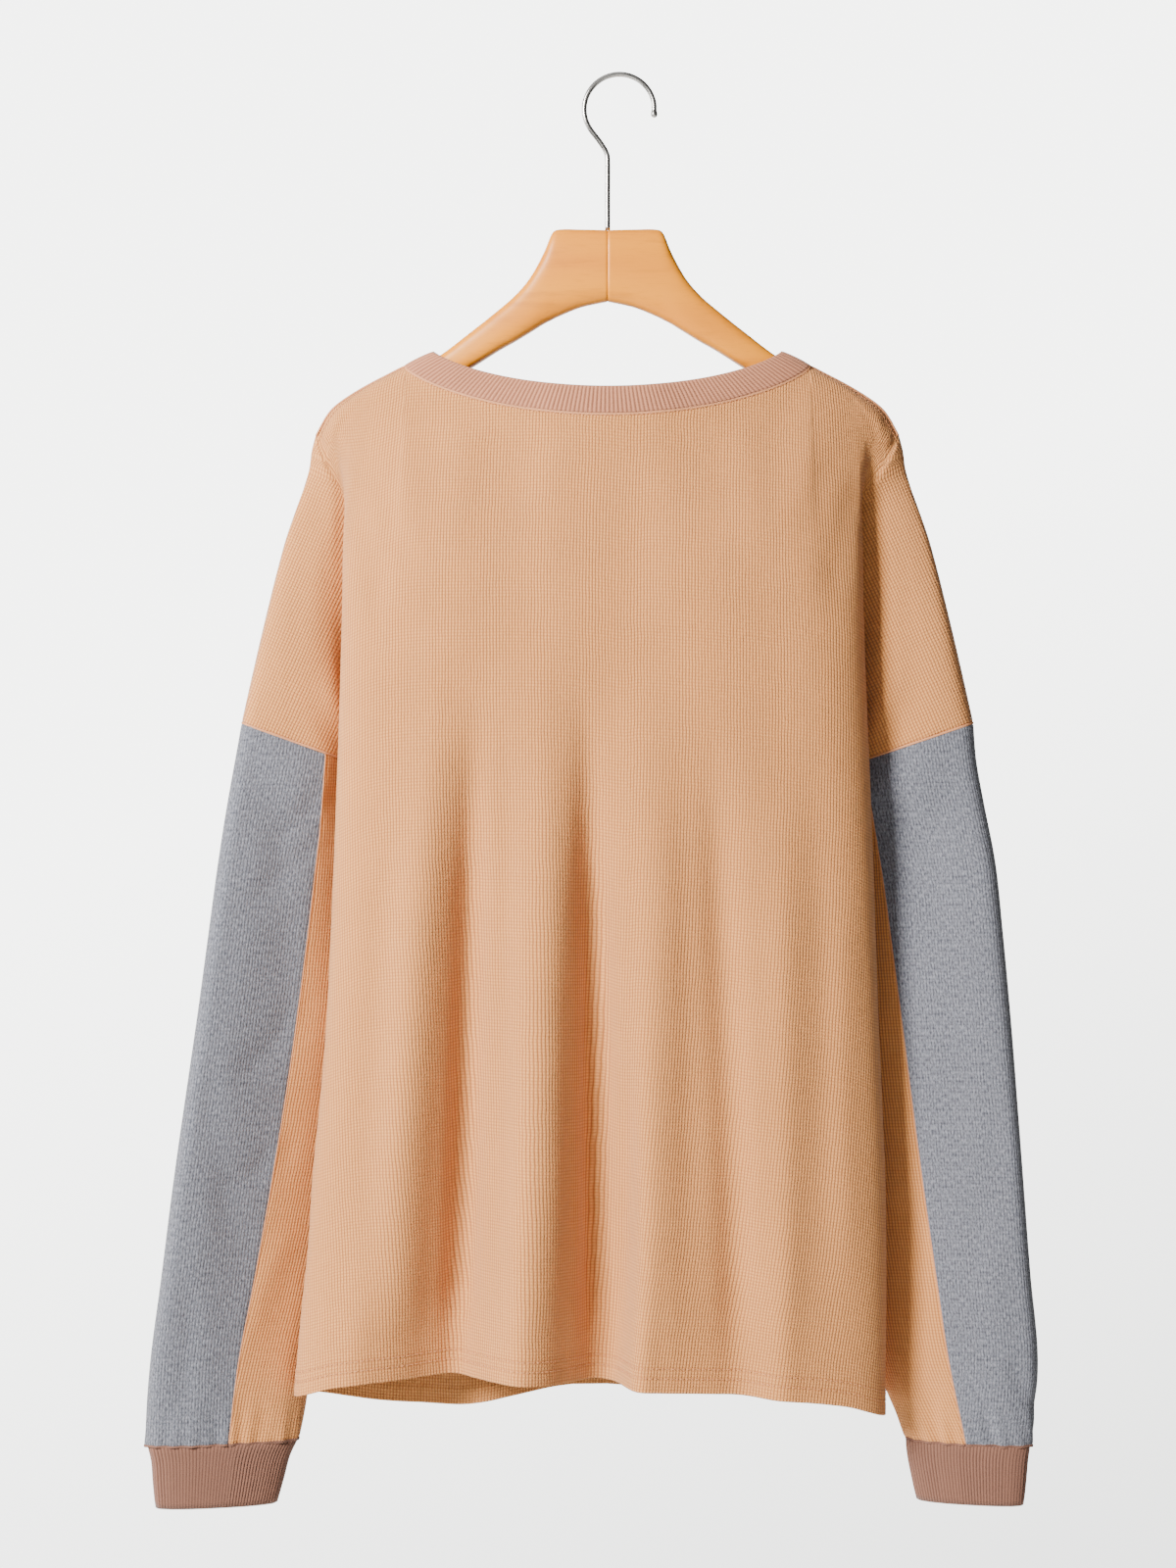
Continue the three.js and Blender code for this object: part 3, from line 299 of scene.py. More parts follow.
def fold_angle(face, t):
    if face < 0:
        return mix(9, SIDE_SEAM_ARMPIT, max(0, (t - 0.22) / 0.78) ** 1.7)
    return mix(30, SIDE_SEAM_ARMPIT, smooth(t))


def upper_point(face, column, row):
    t = mix(ROWS[row], EVEN_ROWS[row], column["even"])
    if "neck" in column:
        top = neck_point(face, column["side"], column["neck"], "seam")
    else:
        x = column["top"]
        top = [column["side"] * x, 0, FOLD_TOP_Z if x > CREST[-1]["x"] else crest_z(x)]
    z = mix(top[2], ARMPIT_Z, t)
    below = ring_point(face, column, mix(FOLD_TOP_Z, ARMPIT_Z, t), fold_angle(face, t))
    x = mix(top[0], below[0], smooth(t / column["reach"]))
    return [x, mix(tent_y(face, x, z), below[1], smooth(t / column["reach_y"])), z]


def lower_point(face, column, r):
    seam = mix(SIDE_SEAM_ARMPIT, SIDE_SEAM_HEM, smooth(r * 1.1))
    guess = ring_point(face, column, -870, seam)
    is_seam = column.get("share") == 0
    hem = along(HEM[-1 if is_seam else face], "x", "z", guess[0])
    return ring_point(face, column, mix(ARMPIT_Z, hem, r), seam)


def bulge(s):
    return (1 - abs(2 * s - 1) ** 2.4) ** (1 / 2.4)


def lens_point(inner, outer, deep, face, s):
    """Point on the section of a sleeve, from its inner edge (s = 0) to its outer edge (s = 1)."""
    if s == 0:
        return list(inner)
    x, y, z = (mix(a, b, s) for a, b in zip(inner, outer))
    y += face * deep * bulge(s)
    clear = 6 * min(1, math.hypot(x - inner[0], y - inner[1]) / 18)
    if face > 0:
        clear += min(deep, 12) * bulge(s)
    return [x, max(y, front_y(x, z) + clear), z]


UNDER = [0, 0.22, 0.62, 1]
OUTER = [0, 0.36, 0.72, 0.93, 1]


def stations(side, z):
    seam = along(PANEL_SEAM[side], "z", "share", z)
    return [u * seam for u in UNDER] + [mix(seam, 1, u) for u in OUTER[1:]]


def cap_point(face, side, inner, row, s):
    t = EVEN_ROWS[row]
    z = mix(FOLD_TOP_Z, TIP_Z, t)
    deep = mix(3, 15, smooth((t - 0.08) / 0.7))
    x, y, z = lens_point(inner, [SIDES[side] * fall_x(z), fall_y(z), z], deep, face, s)
    away = math.hypot(x - inner[0], y - inner[1])
    return [x, max(y, inner[1] - 0.15 * away - away**2 / 60) if face < 0 else y, z]


def edge_of(table, side, which, z):
    return [SIDES[side] * along(table, "z", which + "X", z), along(table, "z", which + "Y", z), z]


def sleeve_point(side, face, s, r):
    table = SLEEVES[side]
    outer = edge_of(table, side, "out", mix(TIP_Z, CUFF_SEAM_Z, r))
    inner = edge_of(table, side, "in", mix(ARMPIT_Z, CUFF_SEAM_Z, r))
    pit = oval_point(ARMPIT_Z, 1, SIDES[side], SIDE_SEAM_ARMPIT)
    blend = smooth(r / 0.12)
    start = [mix(pit[0], inner[0], blend), mix(pit[1], inner[1], blend), inner[2]]
    if r > 0:
        start[1] = max(start[1], front_y(start[0], start[2]) + 1)
    return lens_point(start, outer, along(table, "z", "deep", outer[2]), face, s)


# grids
def places(lengths, cell, edges):
    """Where a fine grid's lines lie on a coarse one: pairs of step number and share of the step."""
    ends = np.concatenate([[0], np.cumsum(lengths)])
    total = ends[-1]
    cuts = set(ends)
    for a, b in zip(ends[:-1], ends[1:]):
        count = max(1, round((b - a) / cell))
        cuts.update(a + (b - a) * k / count for k in range(1, count))
    for near in edges:
        cuts.update((near, total - near))
    cuts = sorted(cuts)
    kept = [cuts[0]]
    for c in cuts[1:]:
        if c - kept[-1] > 0.35:
            kept.append(c)
    kept[-1] = total
    out = []
    for c in kept:
        i = min(len(lengths) - 1, int(np.searchsorted(ends, c, side="right")) - 1)
        out.append((i, min(1.0, (c - ends[i]) / lengths[i])))
    return out


def step_lengths(grid, axis):
    """Mean length of each step between a grid's lines along an axis."""
    steps = np.linalg.norm(np.diff(grid, axis=axis), axis=2)
    return np.maximum(steps.mean(axis=1 - axis), 1e-3)


def refined(grid, axis, h, cuts):
    """Points on a smooth surface through a coarse grid's, at the cuts along an axis."""
    p = grid if axis == 0 else np.swapaxes(grid, 0, 1)
    rise = np.diff(p, axis=0) / h[:, None, None]
    slope = np.zeros_like(p)
    weights = h[:, None, None]
    slope[1:-1] = (rise[1:] * weights[:-1] + rise[:-1] * weights[1:]) / (weights[:-1] + weights[1:])
    slope[0], slope[-1] = rise[0], rise[-1]
    out = []
    for i, t in cuts:
        out.append(hermite(t, p[i], p[i + 1], h[i] * slope[i], h[i] * slope[i + 1]))
    out = np.array(out)
    return out if axis == 0 else np.swapaxes(out, 0, 1)


def fine_along(grid, axis, cell=CELL, edges=()):
    grid = np.array(grid, dtype=float)
    h = step_lengths(grid, axis)
    return refined(grid, axis, h, places(h, cell, edges))


def fine(grid, cell=CELL, row_edges=(), column_edges=()):
    return fine_along(fine_along(grid, 0, cell, row_edges), 1, cell, column_edges)


def arc(grid, axis):
    """Length along a grid's lines from their start."""
    steps = np.linalg.norm(np.diff(grid, axis=axis), axis=2)
    start = np.zeros_like(np.take(steps, [0], axis=axis))
    return np.concatenate([start, np.cumsum(steps, axis=axis)], axis=axis)


def to_sides(across):
    """Distance to the nearer end of each row."""
    return np.minimum(across, across[:, -1:] - across)


def normals_of(grid, flip):
    """Unit normals of a grid, out of the face whose rows go down and columns go right."""
    down = np.gradient(grid, axis=0)
    right = np.gradient(grid, axis=1)
    n = np.cross(down, right)
    n /= np.maximum(np.linalg.norm(n, axis=2, keepdims=True), 1e-9)
    return -n if flip else n


# creases
# Soft troughs (depth > 0) and ridges (depth < 0) drawn on a face of the shirt, as lines from
# (x, z) to (x, z) with a bend in the middle, all in millimetres. A crease that keeps its depth
# down to a seam or the hem is drawn on past it.
CREASES = {
    "back": entries("x0 z0 x1 z1 bend width depth",
        # the long folds' sharper walls
        (-88, -400, -112, -1040, 5, 9, 10.5), (-112, -400, -142, -1040, -4, 14, -4.5),
        (-56, -430, -64, -1040, 3, 10, -2.6), (-14, -400, -12, -1040, 6, 8.5, 9.5),
        (-34, -400, -47, -1040, -2, 13, -4.5), (66, -420, 92, -1040, 3, 11, 5.5),
        (34, -440, 42, -1040, -2, 12, -2.0), (112, -460, 116, -1040, 2, 11, -2.2),
        # under the shoulder points, down towards the armholes
        (-176, -262, -150, -372, 6, 9, 1.6), (-168, -250, -132, -345, 8, 11, 1.3),
        (170, -258, 150, -360, -6, 9, 1.5), (158, -244, 128, -330, -7, 11, 1.1),
        # from the neck seam
        (-96, -222, -108, -330, 4, 14, -1.1), (92, -222, 104, -336, -4, 14, -1.0),
        (-40, -236, -46, -372, 3, 16, -0.9), (46, -238, 40, -380, -3, 16, -0.9),
        # long hanging creases between the folds
        (-66, -420, -74, -800, 5, 9, 1.3), (-30, -470, -34, -840, -4, 8, -1.2),
        (46, -430, 52, -820, 5, 10, 1.3), (-140, -470, -160, -850, -5, 10, 1.3),
        (134, -430, 138, -850, 4, 11, 1.5), (156, -520, 160, -830, -4, 9, -1.2),
        (12, -640, 8, -870, 2, 6, 1.6), (-84, -640, -88, -866, -3, 7, 1.0),
    ),
    "front": entries("x0 z0 x1 z1 bend width depth",
        (-60, -270, -96, -420, -8, 13, 1.4), (62, -268, 98, -410, 8, 13, 1.3),
        (-16, -396, -34, -520, -4, 9, 1.5), (16, -396, 30, -540, 4, 9, 1.4),
        (-120, -440, -128, -800, 6, 11, 1.4), (6, -520, 4, -840, -5, 10, 1.2),
        (110, -450, 118, -820, -5, 11, 1.4), (-160, -540, -168, -840, -4, 9, -1.2),
        (60, -620, 58, -860, 4, 8, -1.2),
    ),
    "sleeve_left": entries("x0 z0 x1 z1 bend width depth",
        (-176, -470, -226, -520, -5, 8, 1.7), (-180, -502, -246, -566, -6, 9, 1.4),
        (-232, -440, -212, -640, 6, 12, 1.5), (-196, -600, -256, -672, 7, 9, 1.5),
        (-262, -640, -240, -800, -7, 10, 1.4), (-204, -700, -262, -742, 5, 8, 1.3),
        (-206, -760, -246, -856, -6, 9, -1.3), (-276, -790, -288, -905, 3, 7, 1.8),
        (-246, -868, -250, -940, 1, 4, 1.4), (-262, -876, -264, -940, 1, 3.5, 1.3),
        (-228, -880, -230, -940, 0, 3.5, 1.1),
    ),
    "sleeve_right": entries("x0 z0 x1 z1 bend width depth",
        (170, -470, 222, -524, 5, 8, 1.7), (176, -510, 240, -590, 6, 9, 1.4),
        (228, -440, 206, -650, -6, 12, 1.5), (186, -620, 246, -700, -7, 9, 1.4),
        (256, -660, 236, -820, 6, 10, 1.3), (190, -740, 238, -800, -5, 9, 1.2),
        (262, -850, 286, -896, 4, 6, 1.8), (244, -876, 262, -930, 2, 4.5, 1.6),
        (216, -860, 222, -940, -1, 4.5, 1.4), (232, -882, 236, -940, 1, 3.5, 1.2),
        (250, -886, 252, -940, 0, 3.5, 1.2),
    ),
}


def crease_depth(name, x, z):
    """Depth of all of a piece's creases at points, with tapered ends."""
    total = np.zeros_like(x)
    for c in CREASES.get(name, []):
        way = np.array([c["x1"] - c["x0"], c["z1"] - c["z0"]], dtype=float)
        length = np.linalg.norm(way)
        way /= length
        dx, dz = x - c["x0"], z - c["z0"]
        t = (dx * way[0] + dz * way[1]) / length
        off = dx * way[1] - dz * way[0] + c["bend"] * np.sin(np.pi * np.clip(t, 0, 1))
        taper = np.clip(t * 4, 0, 1) * np.clip((1 - t) * 3, 0, 1)
        taper = taper * taper * (3 - 2 * taper)
        total += c["depth"] * taper * np.exp(-((off / c["width"]) ** 2))
    return total


def undulation(x, z, seed, scale=60.0, depth=0.8):
    """Small uneven hang of the cloth, the same each time."""
    rng = np.random.default_rng(seed)
    total = np.zeros_like(x)
    for _ in range(7):
        a = rng.uniform(-0.45, 0.45)
        wave = scale * rng.uniform(0.7, 1.8)
        phase = rng.uniform(0, 2 * np.pi)
        u = x * math.cos(a) + z * math.sin(a) * 0.5
        total += np.sin(2 * np.pi * u / wave + phase) * rng.uniform(0.5, 1)
    return depth * total / 3.5


# meshes
def make_object(name, points, faces, uvs=None, flat=False):
    """Mesh object from points in millimetres, in the row frame's metres."""
    points = (np.asarray(points, dtype=float) + [SHAFT_X, 0, 0]) * MM
    mesh = bpy.data.meshes.new(name)
    mesh.from_pydata(points.tolist(), [], faces)
    if uvs is not None:
        layer = mesh.uv_layers.new(name="cloth_mm")
        index = np.empty(len(mesh.loops), dtype=np.int32)
        mesh.loops.foreach_get("vertex_index", index)
        layer.data.foreach_set("uv", np.asarray(uvs, dtype=np.float32)[index].ravel())
    mesh.polygons.foreach_set("use_smooth", [not flat] * len(mesh.polygons))
    mesh.update()
    obj = bpy.data.objects.new(name, mesh)
    bpy.context.scene.collection.objects.link(obj)
    return obj


def weld(obj, distance=0.00004):
    bm = bmesh.new()
    bm.from_mesh(obj.data)
    bmesh.ops.remove_doubles(bm, verts=bm.verts, dist=distance)
    bmesh.ops.dissolve_degenerate(bm, edges=bm.edges, dist=distance)
    bm.to_mesh(obj.data)
    bm.free()


def round_shoulders(obj):
    """Ease the cloth over the ends of the shoulders, where the fold beside the arm begins."""
    bm = bmesh.new()
    bm.from_mesh(obj.data)
    inside = [v for v in bm.verts if not v.is_boundary]
    for passes in range(SHOULDER_PASSES):
        low = SHOULDER_EASED_Z + (SHOULDER_TOP_Z - SHOULDER_EASED_Z) * passes / SHOULDER_PASSES
        near = [
            v for v in inside
            if v.co.z > low * MM and abs(v.co.x - SHAFT_X * MM) > SHOULDER_INNER_X * MM
            and (v.co.z < SHOULDER_TOP_Z * MM or abs(v.co.x - SHAFT_X * MM) > PAST_HANGER_X * MM)
        ]
        bmesh.ops.smooth_vert(
            bm, verts=near, factor=0.5, use_axis_x=True, use_axis_y=True, use_axis_z=True
        )
    bm.to_mesh(obj.data)
    bm.free()


def cloth(name, patches, wall, shoulders=False):
    """One piece of cloth from fine grids. A patch is (points, u, v, flip)."""
    points, uvs, faces = [], [], []
    for grid, u, v, flip in patches:
        base = len(points)
        rows, columns = grid.shape[:2]
        points.extend(grid.reshape(-1, 3))
        uvs.extend(np.stack([u, v], axis=2).reshape(-1, 2))
        for i in range(rows - 1):
            for j in range(columns - 1):
                a = base + i * columns + j
                quad = [a, a + columns, a + columns + 1, a + 1]
                faces.append(quad[::-1] if flip else quad)
    obj = make_object(name, points, faces, uvs)
    weld(obj)
    if shoulders:
        round_shoulders(obj)
    shell = obj.modifiers.new("wall", "SOLIDIFY")
    shell.thickness = wall * MM
    shell.offset = -1
    shell.use_even_offset = False
    return obj


def moved(grid, amount, flip):
    return grid + normals_of(grid, flip) * amount[..., None]


# body panels
def soft_edge(distance, width):
    return np.exp(-((distance / width) ** 2))


def hem_relief(below):
    """Height of the hem's double layer and its two stitch rows, by distance above the lower edge."""
    step = 0.5 / (1 + np.exp(np.clip((below - 18.5) / 0.7, -40, 40)))
    stitches = -0.45 * (soft_edge(below - 16, 1.2) + soft_edge(below - 9.5, 1.2))
    return step + stitches


NAME = {-1: "back", 1: "front"}


def panel_rows(face):
    columns = columns_of(face)
    rows = [[upper_point(face, c, row) for c in columns] for row in range(len(ROWS))]
    rows += [[lower_point(face, c, r) for c in columns] for r in LOWER_ROWS]
    return rows


def panel_patch(face, grid, u_from):
    """Fine, creased grid of a stretch of a panel; u is measured from the panel's middle."""
    grid = fine_along(grid, 1, edges=(0.8, 2))
    across, down = arc(grid, 1), arc(grid, 0)
    height = down[-1] - down
    u = across - across[:, -1:] * {"middle": 0.5, "right": 1, "left": 0}[u_from]
    u = u + {"middle": 0, "right": -1, "left": 1}[u_from] * PLACKET_WIDTH / 2
    x, z = grid[..., 0], grid[..., 2]
    fade = np.clip(height / 60, 0.5, 1) * np.clip(down / 25, 0, 1)
    edge = np.clip(to_sides(across) / 12, 0, 1)
    amount = -crease_depth(NAME[face], x, z) * fade * edge
    amount += undulation(x, z, 11 if face < 0 else 23) * fade * edge
    amount += hem_relief(height) - 0.5 * soft_edge(down, 1.3)
    return moved(grid, amount, face > 0), u, height, face > 0


def cap_patch(face, side, rows, h, cuts, fold):
    """The shoulder's part outside the fold beside the arm."""
    column = 0 if side == "left" else -1
    inner = [row[column] for row in rows[: len(ROWS)]]
    share = stations(side, TIP_Z)
    coarse = [[inner[0]] * len(share)]
    for row in range(1, len(ROWS)):
        coarse.append([cap_point(face, side, inner[row], row, s) for s in share])
    coarse = np.array(coarse, dtype=float)
    coarse[0] += (coarse[1] - coarse[1, :1]) * 1e-3
    last = len(ROWS) - 1
    kept = [cut for cut in cuts if cut[0] < last] + [(last - 1, 1.0)]
    grid = refined(coarse, 0, h[:last], kept)
    grid[:, 0] = fold[: len(grid)]
    grid = fine_along(grid, 1)
    x, z = grid[..., 0], grid[..., 2]
    across, down = arc(grid, 1), arc(grid, 0)
    width = np.maximum(across[:, -1:], 1)
    inward = np.clip(across / 12, 0, 1)
    fade = inward * np.clip((width - across) / 12, 0, 1)
    fade = fade * np.clip((down[-1] - down) / 10, 0, 1) * np.clip(down / 40, 0, 1)
    amount = undulation(x, z, 31 + face, 45, 0.7) * fade
    amount -= 0.5 * soft_edge(down[-1] - down, 1.3) * inward
    flip = (face < 0) == (side == "left")
    # the knit runs down and inwards here
    lean = math.radians(24) * SIDES[side]
    u = x * math.cos(lean) + z * math.sin(lean)
    v = z * math.cos(lean) - x * math.sin(lean)
    return moved(grid, amount, flip), u, v, flip


def make_panel(face):
    rows = panel_rows(face)
    coarse = np.array(rows, dtype=float)
    h = step_lengths(coarse, 0)
    cuts = places(h, CELL, (0.8, 2, 9.5, 16, 18.5))
    grid = refined(coarse, 0, h, cuts)
    if face < 0:
        patches = [panel_patch(face, grid, "middle")]
    else:
        i = FIRST_PLACKET_COLUMN
        start = next(k for k, cut in enumerate(cuts) if cut[0] + cut[1] >= PLACKET_ROW - 1e-9)
        patches = [panel_patch(face, grid[:, : i + 1], "right"), panel_patch(face, grid[:, i + 1 :], "left")]
        below = fine_along(grid[start:, i : i + 2], 1, edges=(0.8, 2))
        down = arc(below, 0)
        height = down[-1] - down
        u = arc(below, 1) - PLACKET_WIDTH / 2
        patches.append((moved(below, hem_relief(height), True), u, height, True))
    for side in SIDES:
        fold = grid[:, 0 if side == "left" else -1]
        patches.append(cap_patch(face, side, rows, h, cuts, fold))
    return cloth(f"{NAME[face]}_knit", patches, WALL, shoulders=True), rows, patches


# sleeves
SLEEVE_ROWS = [0, 0.05, 0.11, 0.19, 0.29, 0.4, 0.52, 0.64, 0.76, 0.88, 1]


def sleeve_grid(side, part):
    rows = []
    for r in SLEEVE_ROWS:
        every = stations(side, mix(TIP_Z, CUFF_SEAM_Z, r))
        share = every[len(UNDER) - 1 :] if part == "outer" else every[: len(UNDER)][::-1]
        line = [sleeve_point(side, -1, s, r) for s in share]
        line += [sleeve_point(side, 1, s, r) for s in share[:-1][::-1]]
        rows.append(line)
    return rows


def make_sleeve(side, part):
    h = np.diff(SLEEVE_ROWS) * (TIP_Z - CUFF_SEAM_Z)
    coarse = np.array(sleeve_grid(side, part), dtype=float)
    grid = fine_along(refined(coarse, 0, h, places(h, CELL, (0.8, 2))), 1, edges=(0.8, 2))
    across, down = arc(grid, 1), arc(grid, 0)
    x, z = grid[..., 0], grid[..., 2]
    height = down[-1] - down
    flip = (side == "right") != (part == "outer")
    n = normals_of(grid, flip)
    facing = np.clip(-n[..., 1] * 2, -1, 1)
    edge = np.clip(to_sides(across) / 8, 0, 1)
    fade = np.clip(down / 18, 0, 1)
    shape = np.where(facing < 0, 0.8, 1.0)
    amount = -crease_depth(f"sleeve_{side}", x, z) * edge * fade * shape
    amount += undulation(x, z, 41 + len(part) + SIDES[side], 50, 0.8) * edge * fade
    # gathered into the cuff
    gather = np.clip(1 - height / 34, 0, 1) ** 1.5
    amount += gather * 0.9 * np.sin(across * 2 * np.pi / 11 + 0.6 * np.sin(across / 9))
    amount -= 0.45 * soft_edge(to_sides(across), 1.2)
    amount -= 0.5 * soft_edge(down, 1.3) + 0.5 * soft_edge(height, 1.3)
    u = across - across[:, -1:] / 2
    grid = grid + n * amount[..., None]
    return cloth(f"sleeve_{side}_{part}_knit", [(grid, u, height, flip)], WALL), grid


# ribbed bands
def rib_wave(length, pitch):
    """Rounded rib with a narrow furrow, from 0 in the furrow to 1 on top."""
    return np.abs(np.sin(np.pi * length / pitch)) ** 0.75


def ribbed(name, base, pitch, height, flip, roll):
    """A band from a coarse grid of two or more rows, with raised ribs across it."""
    grid = fine(base, cell=pitch / 6)
    if grid.shape[0] > 14:
        keep = np.linspace(0, grid.shape[0] - 1, 12).round().astype(int)
        grid = grid[keep]
    across = arc(grid, 1)
    mean = across.mean(axis=0)
    count = round(mean[-1] / pitch)
    u = np.broadcast_to(mean / mean[-1] * count * pitch, across.shape)
    down = arc(grid, 0)
    v = down / np.maximum(down[-1], 1e-6)
    soft = 1 - 0.75 * (soft_edge(v, 0.07) + soft_edge(1 - v, 0.07))
    amount = 0.4 + height * (rib_wave(u, pitch) - 0.5) * soft
    amount = amount + roll * np.sin(np.pi * v)
    grid = moved(grid, amount, flip)
    return cloth(name, [(grid, u.copy(), down, flip)], RIB_WALL), grid


def make_neckband():
    front, back = NECK_ANGLES[1], NECK_ANGLES[-1]
    loop = [(1, 1, front[-1])]
    loop += [(1, -1, a) for a in front[::-1]]
    loop += [(-1, -1, a) for a in back[1:]]
    loop += [(-1, 1, a) for a in back[:-1][::-1]]
    loop += [(1, 1, a) for a in front[1:]]
    rows = []
    for share in (1, 0.5, 0):
        line = []
        for k, (face, side, angle) in enumerate(loop):
            seam = neck_point(face, side, angle, "seam")
            edge = neck_point(face, side, angle, "band")
            p = [mix(a, b, share) for a, b in zip(seam, edge)]
            if k == 0:
                p[0] = PLACKET_WIDTH / 2 - 0.2
            if k == len(loop) - 1:
                p[0] = PLACKET_WIDTH / 2 + 0.2
            line.append(p)
        rows.append(line)
    return ribbed("neckband_rib", rows, 2.7, 0.75, False, 0.5)


def make_cuff(side):
    table = CUFFS[side]
    shares = [0, 0.03, 0.1, 0.22, 0.4, 0.6, 0.78, 0.9, 0.97, 1]
    loop = [(-1, s) for s in shares] + [(1, s) for s in shares[:-1][::-1]]
    rows = []
    for z in (table[0]["z"] - 0.2, table[1]["z"], mix(table[1]["z"], table[2]["z"], 0.5), table[2]["z"]):
        inner, outer = (edge_of(table, side, which, z) for which in ("in", "out"))
        deep = along(table, "z", "deep", z)
        rows.append([lens_point(inner, outer, deep, face, s) for face, s in loop])
    return ribbed(f"cuff_{side}_rib", rows, 2.1, 0.65, side == "left", 0.4)


def tube_faces(rings, count, turned):
    """Faces of a closed tube from rings of points, with a flat cap at each end."""
    faces = []
    for i in range(rings - 1):
        for k in range(count):
            a, b = i * count + k, i * count + (k + 1) % count
            faces.append([a, b, b + count, a + count])
    faces.append(list(range(count))[::-1])
    faces.append([(rings - 1) * count + k for k in range(count)])
    return [face[::-1] for face in faces] if turned else faces


# threads and ridges
def cumulative(path):
    return np.concatenate([[0], np.cumsum(np.linalg.norm(np.diff(path, axis=0), axis=1))])


def resample(path, step):
    length = cumulative(path)
    count = max(2, int(round(length[-1] / step)) + 1)
    at = np.linspace(0, length[-1], count)
    return np.stack([np.interp(at, length, path[:, k]) for k in range(path.shape[1])], axis=1)


def ridge(name, lines, radius, lift, sides=8, flat=0.7):
    """Raised cord along lines on the cloth. A line is (points, normals)."""
    points, faces, uvs = [], [], []
    for path, normals in lines:
        both = resample(np.concatenate([path, normals], axis=1), 2.0)
        path, n = both[:, :3], both[:, 3:]
        n /= np.linalg.norm(n, axis=1, keepdims=True)
        way = np.gradient(path, axis=0)
        way /= np.linalg.norm(way, axis=1, keepdims=True)
        across = np.cross(way, n)
        length = cumulative(path)
        base = len(points)
        for k in range(sides):
            a = 2 * math.pi * k / sides
            ring = path + n * (lift + radius * flat * math.sin(a)) + across * radius * math.cos(a)
            points.extend(ring)
            uvs.extend(np.stack([np.full(len(path), k * 0.8), length], axis=1))
        count = len(path)
        for k in range(sides):
            for i in range(count - 1):
                a, b = base + k * count + i, base + ((k + 1) % sides) * count + i
                faces.append([a, b, b + 1, a + 1])
        faces.append([base + k * count for k in range(sides)][::-1])
        faces.append([base + k * count + count - 1 for k in range(sides)])
    return make_object(name, points, faces, uvs)


STITCH = [(0.0, 0.0), (0.18, 0.85), (0.5, 1.0), (0.82, 0.85), (1.0, 0.0)]


def stitches(name, lines, length=2.6, gap=0.9, radius=0.28, lift=0.1):
    """Rows of single stitches along lines on the cloth."""
    points, faces, uvs = [], [], []
    sides = 5
    for path, normals in lines:
        both = resample(np.concatenate([path, normals], axis=1), (length + gap) / 4)
        for start in range(0, len(both) - 4, 4):
            a, b = both[start], both[start + 3]
            way = b[:3] - a[:3]
            size = np.linalg.norm(way)
            if size < 1e-6:
                continue
            n = (a[3:] + b[3:]) / np.linalg.norm(a[3:] + b[3:])
            across = np.cross(way / size, n)
            base = len(points)
            for t, thick in STITCH[1:-1]:
                centre = a[:3] + way * t + n * (lift + 0.22 * math.sin(math.pi * t))
                for k in range(sides):
                    turn = 2 * math.pi * k / sides
                    off = math.cos(turn) * across + math.sin(turn) * n
                    points.append(centre + off * radius * thick)
                    uvs.append((k, t * length))
            points.extend([a[:3] + n * (lift - 0.2), b[:3] + n * (lift - 0.2)])
            uvs.extend([(0, 0), (0, length)])
            first, last = base + 3 * sides, base + 3 * sides + 1
            for ring in range(2):
                for k in range(sides):
                    p, q = base + ring * sides + k, base + ring * sides + (k + 1) % sides
                    faces.append([p, q, q + sides, p + sides])
            for k in range(sides):
                faces.append([first, base + (k + 1) % sides, base + k])
                faces.append([last, base + 2 * sides + k, base + 2 * sides + (k + 1) % sides])
    return make_object(name, points, faces, uvs)


def line_at_height(patch, above):
    """Line across a patch at a distance above its lower edge."""
    grid, _, height, flip = patch
    n = normals_of(grid, flip)
    path, normals = [], []
    for j in range(grid.shape[1]):
        h = height[::-1, j]
        path.append([np.interp(above, h, grid[::-1, j, k]) for k in range(3)])
        normals.append([np.interp(above, h, n[::-1, j, k]) for k in range(3)])
    return np.array(path), np.array(normals)


def line_of(grid, flip, row=None, column=None):
    n = normals_of(grid, flip)
    if row is not None:
        return grid[row].copy(), n[row].copy()
    return grid[:, column].copy(), n[:, column].copy()


# materials
def node_material(name):
    material = bpy.data.materials.new(name)
    material.use_nodes = True
    tree = material.node_tree
    tree.nodes.clear()
    out = tree.nodes.new("ShaderNodeOutputMaterial")
    shader = tree.nodes.new("ShaderNodeBsdfPrincipled")
    tree.links.new(shader.outputs["BSDF"], out.inputs["Surface"])
    return material, tree, shader


def settings(shader, values):
    for name, value in values.items():
        shader.inputs[name].default_value = value


def linear(colour):
    """Linear RGBA from sRGB numbers of 0 to 255."""
    out = []
    for value in colour:
        c = value / 255
        out.append(c / 12.92 if c <= 0.04045 else ((c + 0.055) / 1.055) ** 2.4)
    return (*out, 1.0)


